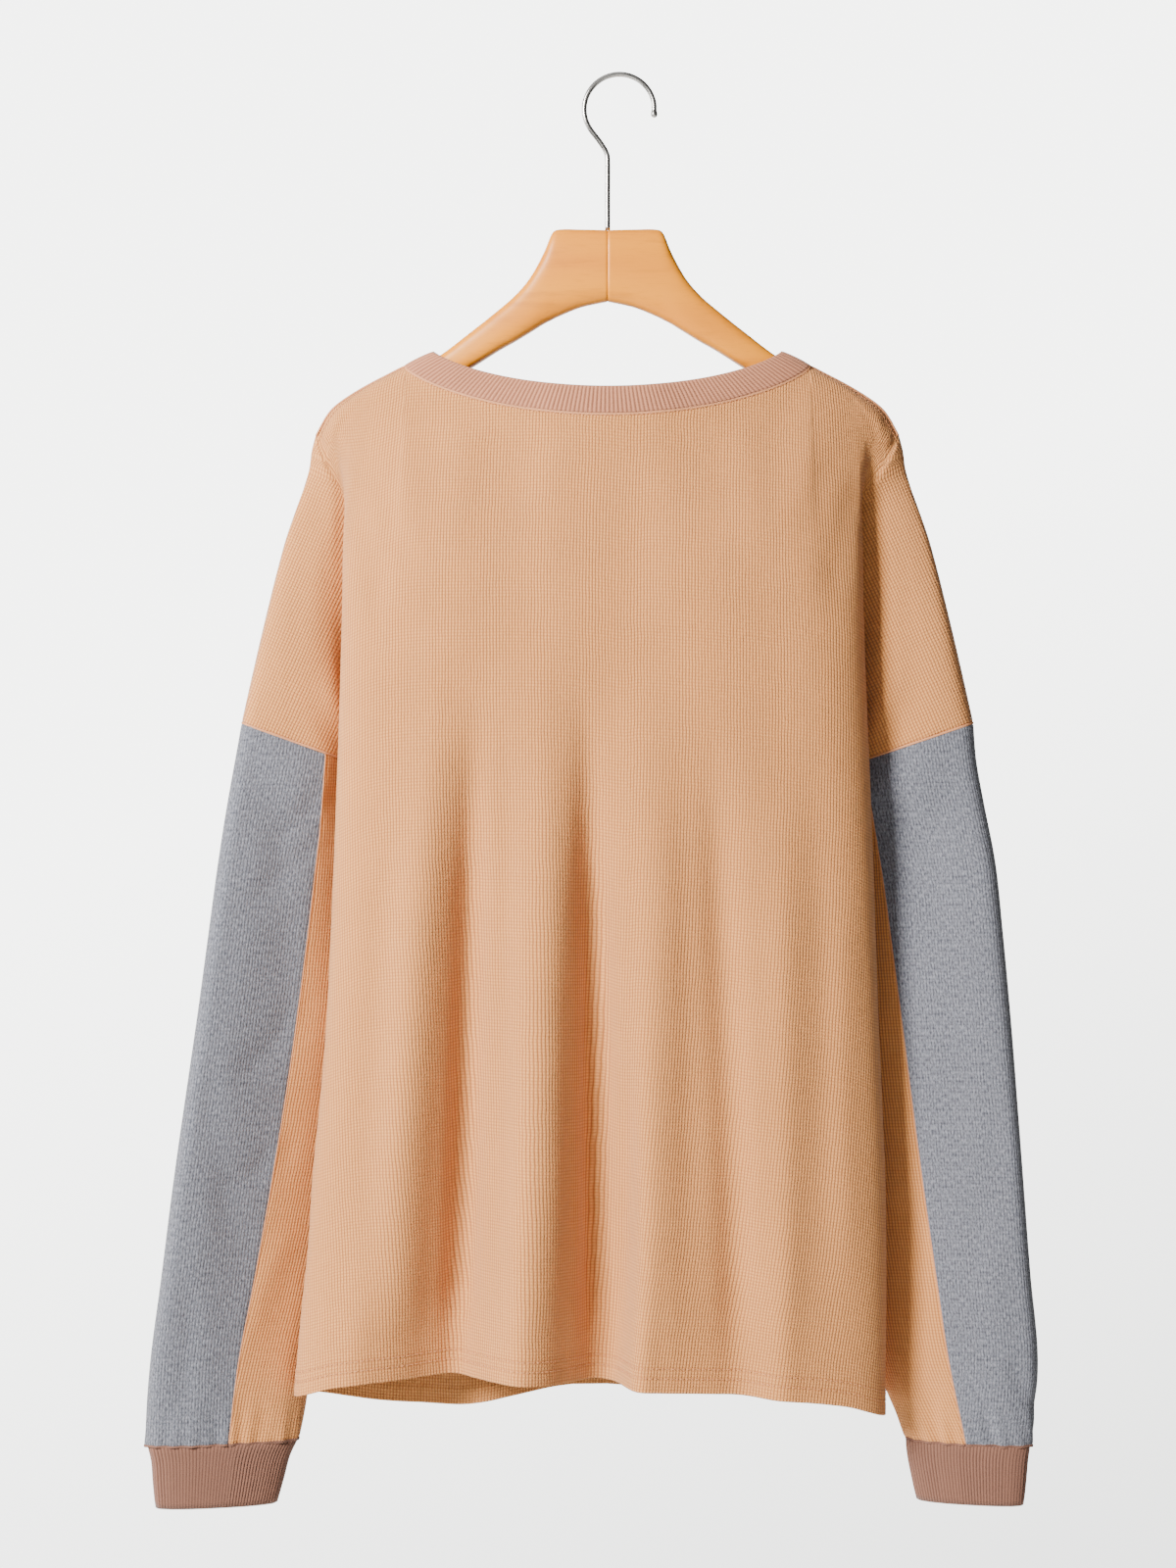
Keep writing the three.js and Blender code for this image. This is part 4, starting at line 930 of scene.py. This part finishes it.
class Nodes:
    """Small helpers that add nodes to a tree; a value may be a number or another node's output."""

    def __init__(self, tree):
        self.tree = tree

    def put(self, socket, value):
        if isinstance(value, bpy.types.NodeSocket):
            self.tree.links.new(value, socket)
        else:
            socket.default_value = value

    def math(self, operation, a, b=0.0, clamp=False):
        node = self.tree.nodes.new("ShaderNodeMath")
        node.operation = operation
        node.use_clamp = clamp
        self.put(node.inputs[0], a)
        self.put(node.inputs[1], b)
        return node.outputs[0]

    def times(self, a, b, clamp=False):
        return self.math("MULTIPLY", a, b, clamp)

    def plus(self, a, b):
        return self.math("ADD", a, b)

    def mix(self, factor, a, b):
        node = self.tree.nodes.new("ShaderNodeMix")
        node.data_type = "RGBA"
        self.put(node.inputs[0], factor)
        self.put(node.inputs[6], a)
        self.put(node.inputs[7], b)
        return node.outputs[2]

    def noise(self, vector, scale, detail=2.0, roughness=0.5):
        node = self.tree.nodes.new("ShaderNodeTexNoise")
        self.put(node.inputs["Vector"], vector)
        self.put(node.inputs["Scale"], scale)
        self.put(node.inputs["Detail"], detail)
        self.put(node.inputs["Roughness"], roughness)
        return node.outputs["Fac"]

    def mapping(self, vector, scale):
        node = self.tree.nodes.new("ShaderNodeMapping")
        self.put(node.inputs["Vector"], vector)
        self.put(node.inputs["Scale"], scale)
        return node.outputs["Vector"]

    def uv(self):
        node = self.tree.nodes.new("ShaderNodeUVMap")
        node.uv_map = "cloth_mm"
        return node.outputs["UV"]

    def object_place(self):
        return self.tree.nodes.new("ShaderNodeTexCoord").outputs["Object"]

    def split(self, vector):
        node = self.tree.nodes.new("ShaderNodeSeparateXYZ")
        self.put(node.inputs[0], vector)
        return node.outputs

    def uneven(self, colour, *parts):
        """A colour whose brightness sways with noises; a part is (noise, amount)."""
        value = 1.0
        for noise, amount in parts:
            sway = self.math("MULTIPLY", self.math("SUBTRACT", noise, 0.5), amount)
            value = self.math("ADD", sway, value)
        node = self.tree.nodes.new("ShaderNodeHueSaturation")
        self.put(node.inputs["Value"], value)
        self.put(node.inputs["Color"], colour)
        return node.outputs["Color"]

    def bump(self, height, distance, strength=1.0):
        node = self.tree.nodes.new("ShaderNodeBump")
        self.put(node.inputs["Height"], height)
        self.put(node.inputs["Distance"], distance)
        self.put(node.inputs["Strength"], strength)
        return node.outputs["Normal"]

    def ramp(self, value, low, high):
        """0 at low and 1 at high."""
        node = self.tree.nodes.new("ShaderNodeMapRange")
        self.put(node.inputs["Value"], value)
        self.put(node.inputs["From Min"], low)
        self.put(node.inputs["From Max"], high)
        return node.outputs["Result"]


def knit(name, top, low, pitch_u, pitch_v, relief, heather=0.0, waffle=0.55, second=None):
    """Waffle knit: ribs along v with cross courses, painted shade in the stitch hollows, uneven yarn, and a
    light nap.
    """
    material, tree, shader = node_material(name)
    n = Nodes(tree)
    uv = n.uv()
    u, v, _ = n.split(uv)
    wobble = n.noise(uv, 0.05, 2.0)
    u_place = n.plus(u, n.times(wobble, 1.6))
    rib = n.math("ABSOLUTE", n.math("SINE", n.times(u_place, math.pi / pitch_u)))
    course = n.math("ABSOLUTE", n.math("SINE", n.times(v, math.pi / pitch_v)))
    stitch = n.times(n.math("POWER", rib, 0.8), n.plus(1 - waffle, n.times(course, waffle)))
    yarn = n.noise(n.mapping(uv, (1.4, 0.7, 1.0)), 1.0, 3.0, 0.6)
    broad = n.noise(uv, 0.018, 3.0, 0.5)
    # The low colour in the waffle's hollows and the top colour on the stitches are painted shade, over the
    # shading the bump already gives.
    colour = n.mix(n.times(stitch, 1.0, clamp=True), low, top)
    if second is not None:
        fleck = n.noise(n.mapping(uv, (0.9, 0.33, 1.0)), 1.0, 4.0, 0.75)
        colour = n.mix(n.times(n.ramp(fleck, 0.42, 0.66), heather, clamp=True), colour, second)
    n.put(shader.inputs["Base Color"], n.uneven(colour, (broad, 0.16), (yarn, 0.16)))
    settings(shader, {
        "Roughness": 0.92, "Sheen Weight": 0.12, "Sheen Roughness": 0.6,
        "Specular IOR Level": 0.18, "Subsurface Weight": 0.03,
        "Subsurface Radius": (0.004, 0.0025, 0.0018),
    })
    height = n.plus(stitch, n.times(yarn, 0.5))
    n.put(shader.inputs["Normal"], n.bump(height, relief * MM, 0.9))
    return material


def rib_material(name, top, low, pitch):
    """Rib knit whose furrows are in the mesh, with painted shade darkening the furrows, and fine stitches.
    """
    material, tree, shader = node_material(name)
    n = Nodes(tree)
    uv = n.uv()
    u, v, _ = n.split(uv)
    rib = n.math("ABSOLUTE", n.math("SINE", n.times(u, math.pi / pitch)))
    course = n.math("ABSOLUTE", n.math("SINE", n.times(v, math.pi / 1.5)))
    yarn = n.noise(n.mapping(uv, (1.2, 0.8, 1.0)), 1.0, 3.0, 0.6)
    broad = n.noise(uv, 0.03, 2.0)
    # The low colour in the mesh's furrows is painted shade; the furrows already shade themselves.
    colour = n.mix(n.math("POWER", rib, 0.7), low, top)
    n.put(shader.inputs["Base Color"], n.uneven(colour, (yarn, 0.22), (broad, 0.14)))
    settings(shader, {"Roughness": 0.9, "Sheen Weight": 0.12, "Specular IOR Level": 0.18})
    height = n.plus(n.times(course, 0.5), n.times(yarn, 0.5))
    n.put(shader.inputs["Normal"], n.bump(height, 0.25 * MM, 0.8))
    return material


def thread_material(name, colour):
    material, tree, shader = node_material(name)
    n = Nodes(tree)
    twist = n.noise(n.mapping(n.uv(), (1.0, 3.0, 1.0)), 1.5, 2.0)
    low = tuple(c * 0.8 for c in colour[:3]) + (1.0,)
    n.put(shader.inputs["Base Color"], n.mix(twist, low, colour))
    n.put(shader.inputs["Roughness"], 0.7)
    n.put(shader.inputs["Normal"], n.bump(twist, 0.1 * MM, 0.6))
    return material


def wood_material():
    material, tree, shader = node_material("hanger_wood")
    n = Nodes(tree)
    place = n.object_place()
    grain = n.noise(n.mapping(place, (18, 160, 160)), 1.0, 5.0, 0.55)
    broad = n.noise(n.mapping(place, (5, 22, 34)), 1.0, 3.0, 0.5)
    fine_grain = n.noise(n.mapping(place, (60, 900, 900)), 1.0, 3.0, 0.6)
    light, dark = linear((220, 138, 10)), linear((158, 84, 8))
    colour = n.mix(n.ramp(broad, 0.3, 0.75), light, linear((202, 118, 8)))
    colour = n.mix(n.times(n.ramp(grain, 0.5, 0.75), 0.45), colour, dark)
    colour = n.mix(n.times(n.ramp(fine_grain, 0.55, 0.75), 0.25), colour, dark)
    n.put(shader.inputs["Base Color"], colour)
    n.put(shader.inputs["Roughness"], n.plus(0.32, n.times(grain, 0.2)))
    settings(shader, {"Coat Weight": 0.04, "Specular IOR Level": 0.3, "Coat Roughness": 0.25})
    n.put(shader.inputs["Normal"], n.bump(fine_grain, 0.05 * MM, 0.4))
    return material


def metal_material():
    material, tree, shader = node_material("hook_metal")
    n = Nodes(tree)
    place = n.object_place()
    brushed = n.noise(n.mapping(place, (300, 300, 40)), 1.0, 3.0)
    cloudy = n.noise(place, 60.0, 2.0)
    colour = n.mix(cloudy, linear((150, 147, 143)), linear((196, 194, 190)))
    n.put(shader.inputs["Base Color"], colour)
    shader.inputs["Metallic"].default_value = 1.0
    n.put(shader.inputs["Roughness"], n.plus(0.16, n.times(brushed, 0.16)))
    n.put(shader.inputs["Normal"], n.bump(brushed, 0.02 * MM, 0.3))
    return material


def button_material():
    material, tree, shader = node_material("button_horn")
    n = Nodes(tree)
    place = n.object_place()
    cloud = n.noise(place, 180.0, 4.0, 0.6)
    colour = n.mix(n.ramp(cloud, 0.35, 0.7), linear((196, 160, 130)), linear((222, 192, 164)))
    n.put(shader.inputs["Base Color"], colour)
    n.put(shader.inputs["Roughness"], n.plus(0.24, n.times(cloud, 0.16)))
    shader.inputs["Coat Weight"].default_value = 0.4
    n.put(shader.inputs["Normal"], n.bump(cloud, 0.05 * MM, 0.3))
    return material


# Flat dark brown that stands for the button's holes: painted shade, not a colour of the button.
def hole_shade_material():
    material, tree, shader = node_material("button_hole_painted_shade")
    n = Nodes(tree)
    cloud = n.noise(n.object_place(), 300.0, 2.0)
    n.put(shader.inputs["Base Color"], n.mix(cloud, linear((58, 42, 34)), linear((84, 62, 50))))
    n.put(shader.inputs["Roughness"], 0.8)
    return material


# The second, darker colour given to each knit and rib is the painted shade of its stitch hollows or furrows.
MATERIALS = {
    "tan": knit("tan_waffle", linear((216, 150, 86)), linear((150, 86, 40)), 2.1, 2.1, 0.5),
    "grey": knit(
        "grey_heather", linear((94, 95, 104)), linear((48, 49, 56)), 2.1, 2.35, 0.4,
        heather=0.6, second=linear((152, 153, 161)),
    ),
    "rib": rib_material("neck_rib", linear((178, 120, 90)), linear((118, 72, 52)), 2.7),
    "cuff": rib_material("cuff_rib", linear((122, 84, 68)), linear((70, 46, 37)), 2.1),
    "thread": thread_material("tan_thread", linear((200, 134, 88))),
    "wood": wood_material(),
    "metal": metal_material(),
    "button": button_material(),
    "hole_shade": hole_shade_material(),
}


def finish_piece(obj, material, slot, *nodes):
    obj.data.materials.clear()
    obj.data.materials.append(MATERIALS[material])
    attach(obj, "root")
    if nodes:
        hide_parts(*nodes)
    return obj


# build the shirt
back, _, back_patches = make_panel(-1)
front, front_rows, front_patches = make_panel(1)
finish_piece(back, "tan", "tan_knit", "back")
finish_piece(front, "tan", "tan_knit", "front")

sleeve_objects, sleeve_grids = {}, {}
for side in SIDES:
    for part, material, slot in (("outer", "grey", "grey_knit"), ("under", "tan", "tan_knit")):
        obj, grid = make_sleeve(side, part)
        sleeve_objects[side, part] = finish_piece(obj, material, slot, f"sleeve_{side}_{part}")
        sleeve_grids[side, part] = grid

neckband, neck_grid = make_neckband()
finish_piece(neckband, "rib", "rib_knit", "neckband")
cuffs = {}
for side in SIDES:
    cuffs[side], _ = make_cuff(side)
    finish_piece(cuffs[side], "cuff", "rib_knit", f"cuff_{side}")


# placket and buttons
def placket_point(across, z):
    first = FIRST_PLACKET_COLUMN
    rows = front_rows[: len(ROWS)]
    i = 0
    while i + 2 < len(rows) and rows[i + 1][first][2] > z:
        i += 1
    t = (rows[i][first][2] - z) / (rows[i][first][2] - rows[i + 1][first][2])
    left = np.array(rows[i][first]) * (1 - t) + np.array(rows[i + 1][first]) * t
    right = np.array(rows[i][first + 1]) * (1 - t) + np.array(rows[i + 1][first + 1]) * t
    down = np.array(rows[i + 1][first]) - np.array(rows[i][first])
    normal = np.cross(down, [1, 0, 0])
    normal /= np.linalg.norm(normal)
    normal = normal if normal[1] > 0 else -normal
    point = left * (1 - across) + right * across
    point[2] = z
    return point, normal


PLACKET_TOP = NECK_POINT_Z - NECK_DROP[1]
PLACKET_BOTTOM = front_rows[PLACKET_ROW][FIRST_PLACKET_COLUMN][2]
UPPER_LIFT = PLACKET_WALL + 0.5


def placket_band(name, margin, lift, top, bottom):
    shares = [-margin / PLACKET_WIDTH, 0.25, 0.5, 0.75, 1 + margin / PLACKET_WIDTH]
    levels = np.linspace(top, bottom, 12)
    rows = []
    for z in levels:
        line = []
        for share in shares:
            point, normal = placket_point(share, z)
            line.append(point + normal * lift)
        rows.append(line)
    grid = fine(rows, cell=1.6, row_edges=(0.8, 2), column_edges=(0.8, 2))
    across, down = arc(grid, 1), arc(grid, 0)
    seam = np.minimum(to_sides(across), down[-1] - down)
    amount = -0.35 * soft_edge(seam - STITCH_INSET, 0.9) - 0.3 * soft_edge(seam, 0.9)
    grid = moved(grid, amount, True)
    return cloth(name, [(grid, across, down, True)], PLACKET_WALL - 0.2), grid


placket_upper, upper_grid = placket_band(
    "placket_upper_knit", PLACKET_OVERLAP, UPPER_LIFT, PLACKET_TOP - 0.3, PLACKET_BOTTOM - 5
)
placket_under, _ = placket_band(
    "placket_under_knit", -0.3, -0.1, PLACKET_TOP - 0.3, PLACKET_BOTTOM + 0.3
)
finish_piece(placket_upper, "tan", "tan_knit", "placket_upper")
finish_piece(placket_under, "tan", "tan_knit", "placket_under")


def lathe(name, profile, place, normal, segments=40):
    """Solid of revolution about a normal, from (radius, height) pairs."""
    up = Vector(normal)
    turn = Vector((0, 0, 1)).rotation_difference(up)
    points = []
    for r, h in profile:
        for k in range(segments):
            a = 2 * math.pi * k / segments
            p = turn @ Vector((r * math.cos(a), r * math.sin(a), h))
            points.append([place[i] + p[i] for i in range(3)])
    return make_object(name, points, tube_faces(len(profile), segments, False)), turn


BUTTON_PROFILE = [
    (4.9, 0.0), (5.4, 0.25), (5.6, 0.8), (5.6, 1.6), (5.4, 2.15), (5.0, 2.4), (4.5, 2.35),
    (4.0, 1.9), (3.6, 1.7), (0.4, 1.68),
]
for i in range(3):
    z = mix(PLACKET_TOP - 16, PLACKET_BOTTOM + 22, i / 2)
    point, normal = placket_point(0.5, z)
    place = point + normal * (UPPER_LIFT + 0.6)
    disc, turn = lathe(f"button_{i + 1}_disc", BUTTON_PROFILE, place, normal)
    finish_piece(disc, "button", "button", f"button_{i + 1}")
    # Each hole is a thin dark disc set into the button's dish: painted shade where the hole falls into
    # shadow.
    for hole_shade, (dx, dy) in enumerate(((-1.1, -1.1), (1.1, -1.1), (-1.1, 1.1), (1.1, 1.1))):
        off = turn @ Vector((dx, dy, 1.5))
        spot = [place[k] + off[k] for k in range(3)]
        shade_disc, _ = lathe(
            f"button_{i + 1}_hole_{hole_shade + 1}",
            [(0.66, 0.0), (0.66, 0.2), (0.58, 0.24), (0.1, 0.22)], spot, normal, 16,
        )
        finish_piece(shade_disc, "hole_shade", None)
    strands = []
    for dx in (-1.1, 1.1):
        ends = [turn @ Vector((dx, dy, 1.72)) for dy in (-1.2, 1.2)]
        path = np.array([[place[k] + e[k] for k in range(3)] for e in ends])
        path = resample(path, 0.4)
        strands.append((path, np.repeat([normal], len(path), axis=0)))
    strand = ridge(f"button_{i + 1}_thread", strands, 0.38, 0.12, flat=0.9)
    finish_piece(strand, "thread", None)


# seams and stitches
def hem_lines(above):
    lines = [line_at_height(back_patches[0], above)]
    for patch in front_patches[:3]:
        lines.append(line_at_height(patch, above))
    return lines


hem_thread = stitches("hem_stitches", hem_lines(9.5) + hem_lines(16), lift=0.25)
finish_piece(hem_thread, "thread", "tan_knit")

neck_lines = [line_of(patch[0], patch[3], row=1) for patch in (back_patches[0], *front_patches[:2])]
neck_cord = ridge("neck_seam", neck_lines, 1.0, 0.35)
finish_piece(neck_cord, "thread", "tan_knit")
neck_thread = stitches(
    "neck_stitches",
    [line_of(p[0], p[3], row=3) for p in (back_patches[0], *front_patches[:2])],
    length=2.2, gap=0.8, radius=0.24, lift=0.15,
)
finish_piece(neck_thread, "thread", "tan_knit")

arm_lines = []
for patches, offset in ((back_patches, 1), (front_patches, 3)):
    for k in range(2):
        grid, _, _, flip = patches[offset + k]
        arm_lines.append(line_of(grid, flip, row=-1))
arm_cord = ridge("armhole_seams", arm_lines, 0.8, 0.15)
finish_piece(arm_cord, "thread", "tan_knit")

sleeve_seam_lines = []
for side in SIDES:
    grid = sleeve_grids[side, "under"]
    flip = side == "right"
    for column in (0, -1):
        sleeve_seam_lines.append(line_of(grid, flip, column=column))
sleeve_cord = ridge("sleeve_seams", sleeve_seam_lines, 0.55, 0.0)
finish_piece(sleeve_cord, "thread", "tan_knit")

cuff_lines = []
for side in SIDES:
    for part in ("outer", "under"):
        grid = sleeve_grids[side, part]
        cuff_lines.append(line_of(grid, (side == "right") != (part == "outer"), row=-1))
cuff_cord = ridge("cuff_seams", cuff_lines, 0.9, 0.2)
finish_piece(cuff_cord, "cuff", "rib_knit")

edge_rows = []
across, down = arc(upper_grid, 1), arc(upper_grid, 0)
n = normals_of(upper_grid, True)
middle = upper_grid.shape[0] // 2
columns = [
    int(np.argmin(np.abs(across[middle] - STITCH_INSET))),
    int(np.argmin(np.abs(across[middle, -1] - across[middle] - STITCH_INSET))),
]
for column in columns:
    edge_rows.append((upper_grid[1:-3, column], n[1:-3, column]))
row = int(np.argmin(np.abs(down[-1, 0] - down[:, 0] - STITCH_INSET)))
between = slice(columns[0], columns[1] + 1)
edge_rows.append((upper_grid[row, between], n[row, between]))
placket_thread = stitches("placket_stitches", edge_rows, length=2.2, gap=0.8, radius=0.24, lift=0.2)
finish_piece(placket_thread, "thread", "tan_knit")


# hanger and hook
def hanger_half(side):
    sign = SIDES[side]
    count = 48
    tip = [180, 181.5, 183, 184.3, 185.3, 185.9]
    stops = [0, 0.4, *range(2, 30, 2), *np.arange(30, 60, 1.5), *range(60, 180, 3), *tip]
    points = []
    for x in stops:
        top, bottom = along(ARM, "x", "top", x), along(ARM, "x", "bottom", x)
        half = ARM_HALF_DEPTH
        if x > 166:
            t = (x - 166) / 20
            half = ARM_HALF_DEPTH * math.sqrt(max(0.02, 1 - t**2.4))
        if x == 0:  # the halves meet in a fine groove
            half, top, bottom = half - 0.4, top - 0.4, bottom + 0.4
        middle, high = (top + bottom) / 2, (top - bottom) / 2
        if x > 181:
            high *= math.sqrt(max(0.05, 1 - ((x - 181) / 5.2) ** 2))
        for k in range(count):
            a = 2 * math.pi * (k + 0.5) / count
            soft = [math.copysign(abs(v) ** (2 / ARM_SQUARE), v) for v in (math.cos(a), math.sin(a))]
            points.append([sign * x, arm_sweep(x) + half * soft[0], middle + high * soft[1]])
    return make_object(f"hanger_{side}_wood", points, tube_faces(len(stops), count, sign < 0))


hangers = [finish_piece(hanger_half(side), "wood", "wood", f"hanger_{side}") for side in SIDES]


def catmull(path, per):
    p = np.array(path, dtype=float)
    p = np.concatenate([[2 * p[0] - p[1]], p, [2 * p[-1] - p[-2]]])
    out = []
    for i in range(1, len(p) - 2):
        for k in range(per):
            t = k / per
            out.append(
                0.5 * (2 * p[i] + (p[i + 1] - p[i - 1]) * t
                       + (2 * p[i - 1] - 5 * p[i] + 4 * p[i + 1] - p[i + 2]) * t**2
                       + (3 * p[i] - p[i - 1] - 3 * p[i + 1] + p[i + 2]) * t**3)
            )
    out.append(p[-2])
    return np.array(out)


def make_hook():
    centre_x, centre_z = -SHAFT_X, -HOOK_RADIUS + WIRE_RADIUS
    path = []
    for angle in range(-8, 213, 20):
        a = math.radians(angle)
        path.append([centre_x + HOOK_RADIUS * math.cos(a), 0, centre_z + HOOK_RADIUS * math.sin(a)])
    path += [[-5.2, 0, -43], [-1, 0, -50], [0, 0, -56], [0, 0, -78], [0, 0, ARM[0]["top"] + 0.3]]
    line = catmull(path, 10)
    radius = np.full(len(line), WIRE_RADIUS)
    # a small rounded bead closes the wire's free end
    ahead = cumulative(line)
    bead = [(-2.2, 0.35), (-2.0, 1.1), (-1.4, 1.8), (-0.5, 2.2), (0.5, 2.25), (1.5, 1.95)]
    way = (line[1] - line[0]) / np.linalg.norm(line[1] - line[0])
    tip = np.array([line[0] + way * at for at, _ in bead])
    line = np.concatenate([tip, line[ahead > 2.2]])
    radius = np.concatenate([[r for _, r in bead], radius[ahead > 2.2]])
    way = np.gradient(line, axis=0)
    way /= np.linalg.norm(way, axis=1, keepdims=True)
    side = np.array([0.0, 1.0, 0.0])
    points, count = [], 20
    for p, w, r in zip(line, way, radius):
        across = np.cross(w, side)
        for k in range(count):
            a = 2 * math.pi * k / count
            points.append(p + r * (math.cos(a) * side + math.sin(a) * across))
    return make_object("hook_wire", points, tube_faces(len(line), count, True))


finish_piece(make_hook(), "metal", "metal", "hook")


# stage, light and camera
def make_floor():
    bm = bmesh.new()
    bmesh.ops.create_circle(bm, cap_ends=True, segments=96, radius=3.3)
    mesh = bpy.data.meshes.new("floor")
    bm.to_mesh(mesh)
    bm.free()
    obj = bpy.data.objects.new("floor", mesh)
    obj.location = (0, 0, -1.9)
    bpy.context.scene.collection.objects.link(obj)
    material, tree, shader = node_material("pale_floor")
    n = Nodes(tree)
    cloud = n.noise(n.object_place(), 0.6, 2.0)
    n.put(shader.inputs["Base Color"], n.mix(cloud, linear((238, 238, 236)), linear((242, 242, 240))))
    n.put(shader.inputs["Roughness"], 0.9)
    obj.data.materials.append(material)


def area_light(name, place, aim, size, power, colour=(1, 1, 1)):
    data = bpy.data.lights.new(name, "AREA")
    data.shape = "RECTANGLE"
    data.size, data.size_y = size
    data.energy = power
    data.color = colour
    obj = bpy.data.objects.new(name, data)
    obj.location = place
    obj.rotation_euler = (Vector(aim) - Vector(place)).to_track_quat("-Z", "Y").to_euler()
    bpy.context.scene.collection.objects.link(obj)


def make_world():
    """A dim even studio with a bright white wall some way off on the +Y side."""
    world = bpy.data.worlds.new("studio")
    bpy.context.scene.world = world
    world.use_nodes = True
    tree = world.node_tree
    tree.nodes.clear()
    out = tree.nodes.new("ShaderNodeOutputWorld")
    background = tree.nodes.new("ShaderNodeBackground")
    tree.links.new(background.outputs[0], out.inputs["Surface"])
    n = Nodes(tree)
    x, y, z = n.split(tree.nodes.new("ShaderNodeTexCoord").outputs["Generated"])
    wall = n.ramp(y, 0.8, 0.945)
    height = n.ramp(n.math("SUBTRACT", z, n.times(x, 0.45)), -0.34, 0.05)
    level = n.plus(n.times(height, WALL_LEVEL - WALL_LOW_LEVEL), WALL_LOW_LEVEL)
    level = n.math("SUBTRACT", level, STUDIO_LEVEL)
    n.put(background.inputs["Color"], linear((254, 255, 253)))
    n.put(background.inputs["Strength"], n.plus(STUDIO_LEVEL, n.times(wall, level)))


STUDIO_LEVEL, WALL_LEVEL, WALL_LOW_LEVEL = 0.1, 5.6, 2.8
make_floor()
make_world()
area_light("key", (-1.95, -2.15, 0.7), (0, 0, -0.5), (0.9, 1.1), 345, (1.0, 0.99, 0.97))
area_light("front", (0.4, -3.0, -0.2), (0, 0, -0.5), (1.6, 1.6), 8)
area_light("side", (-2.6, 0.1, -0.2), (0, 0, -0.5), (0.8, 1.6), 45)
area_light("top", (-0.5, -0.6, 1.6), (0, 0, -0.4), (1.4, 1.0), 8)
area_light("behind", (-0.6, 2.4, 0.4), (0, 0, -0.5), (1.6, 1.6), 60)

camera_data = bpy.data.cameras.new("camera")
camera_data.sensor_width = 36
camera_data.lens = 36 * 2.0 / 1.04
camera_data.clip_end = 30
camera = bpy.data.objects.new("camera", camera_data)
camera.location = (-0.0208, -2.0, -0.469)
camera.rotation_euler = (math.radians(90), 0, 0)
bpy.context.scene.collection.objects.link(camera)
bpy.context.scene.camera = camera
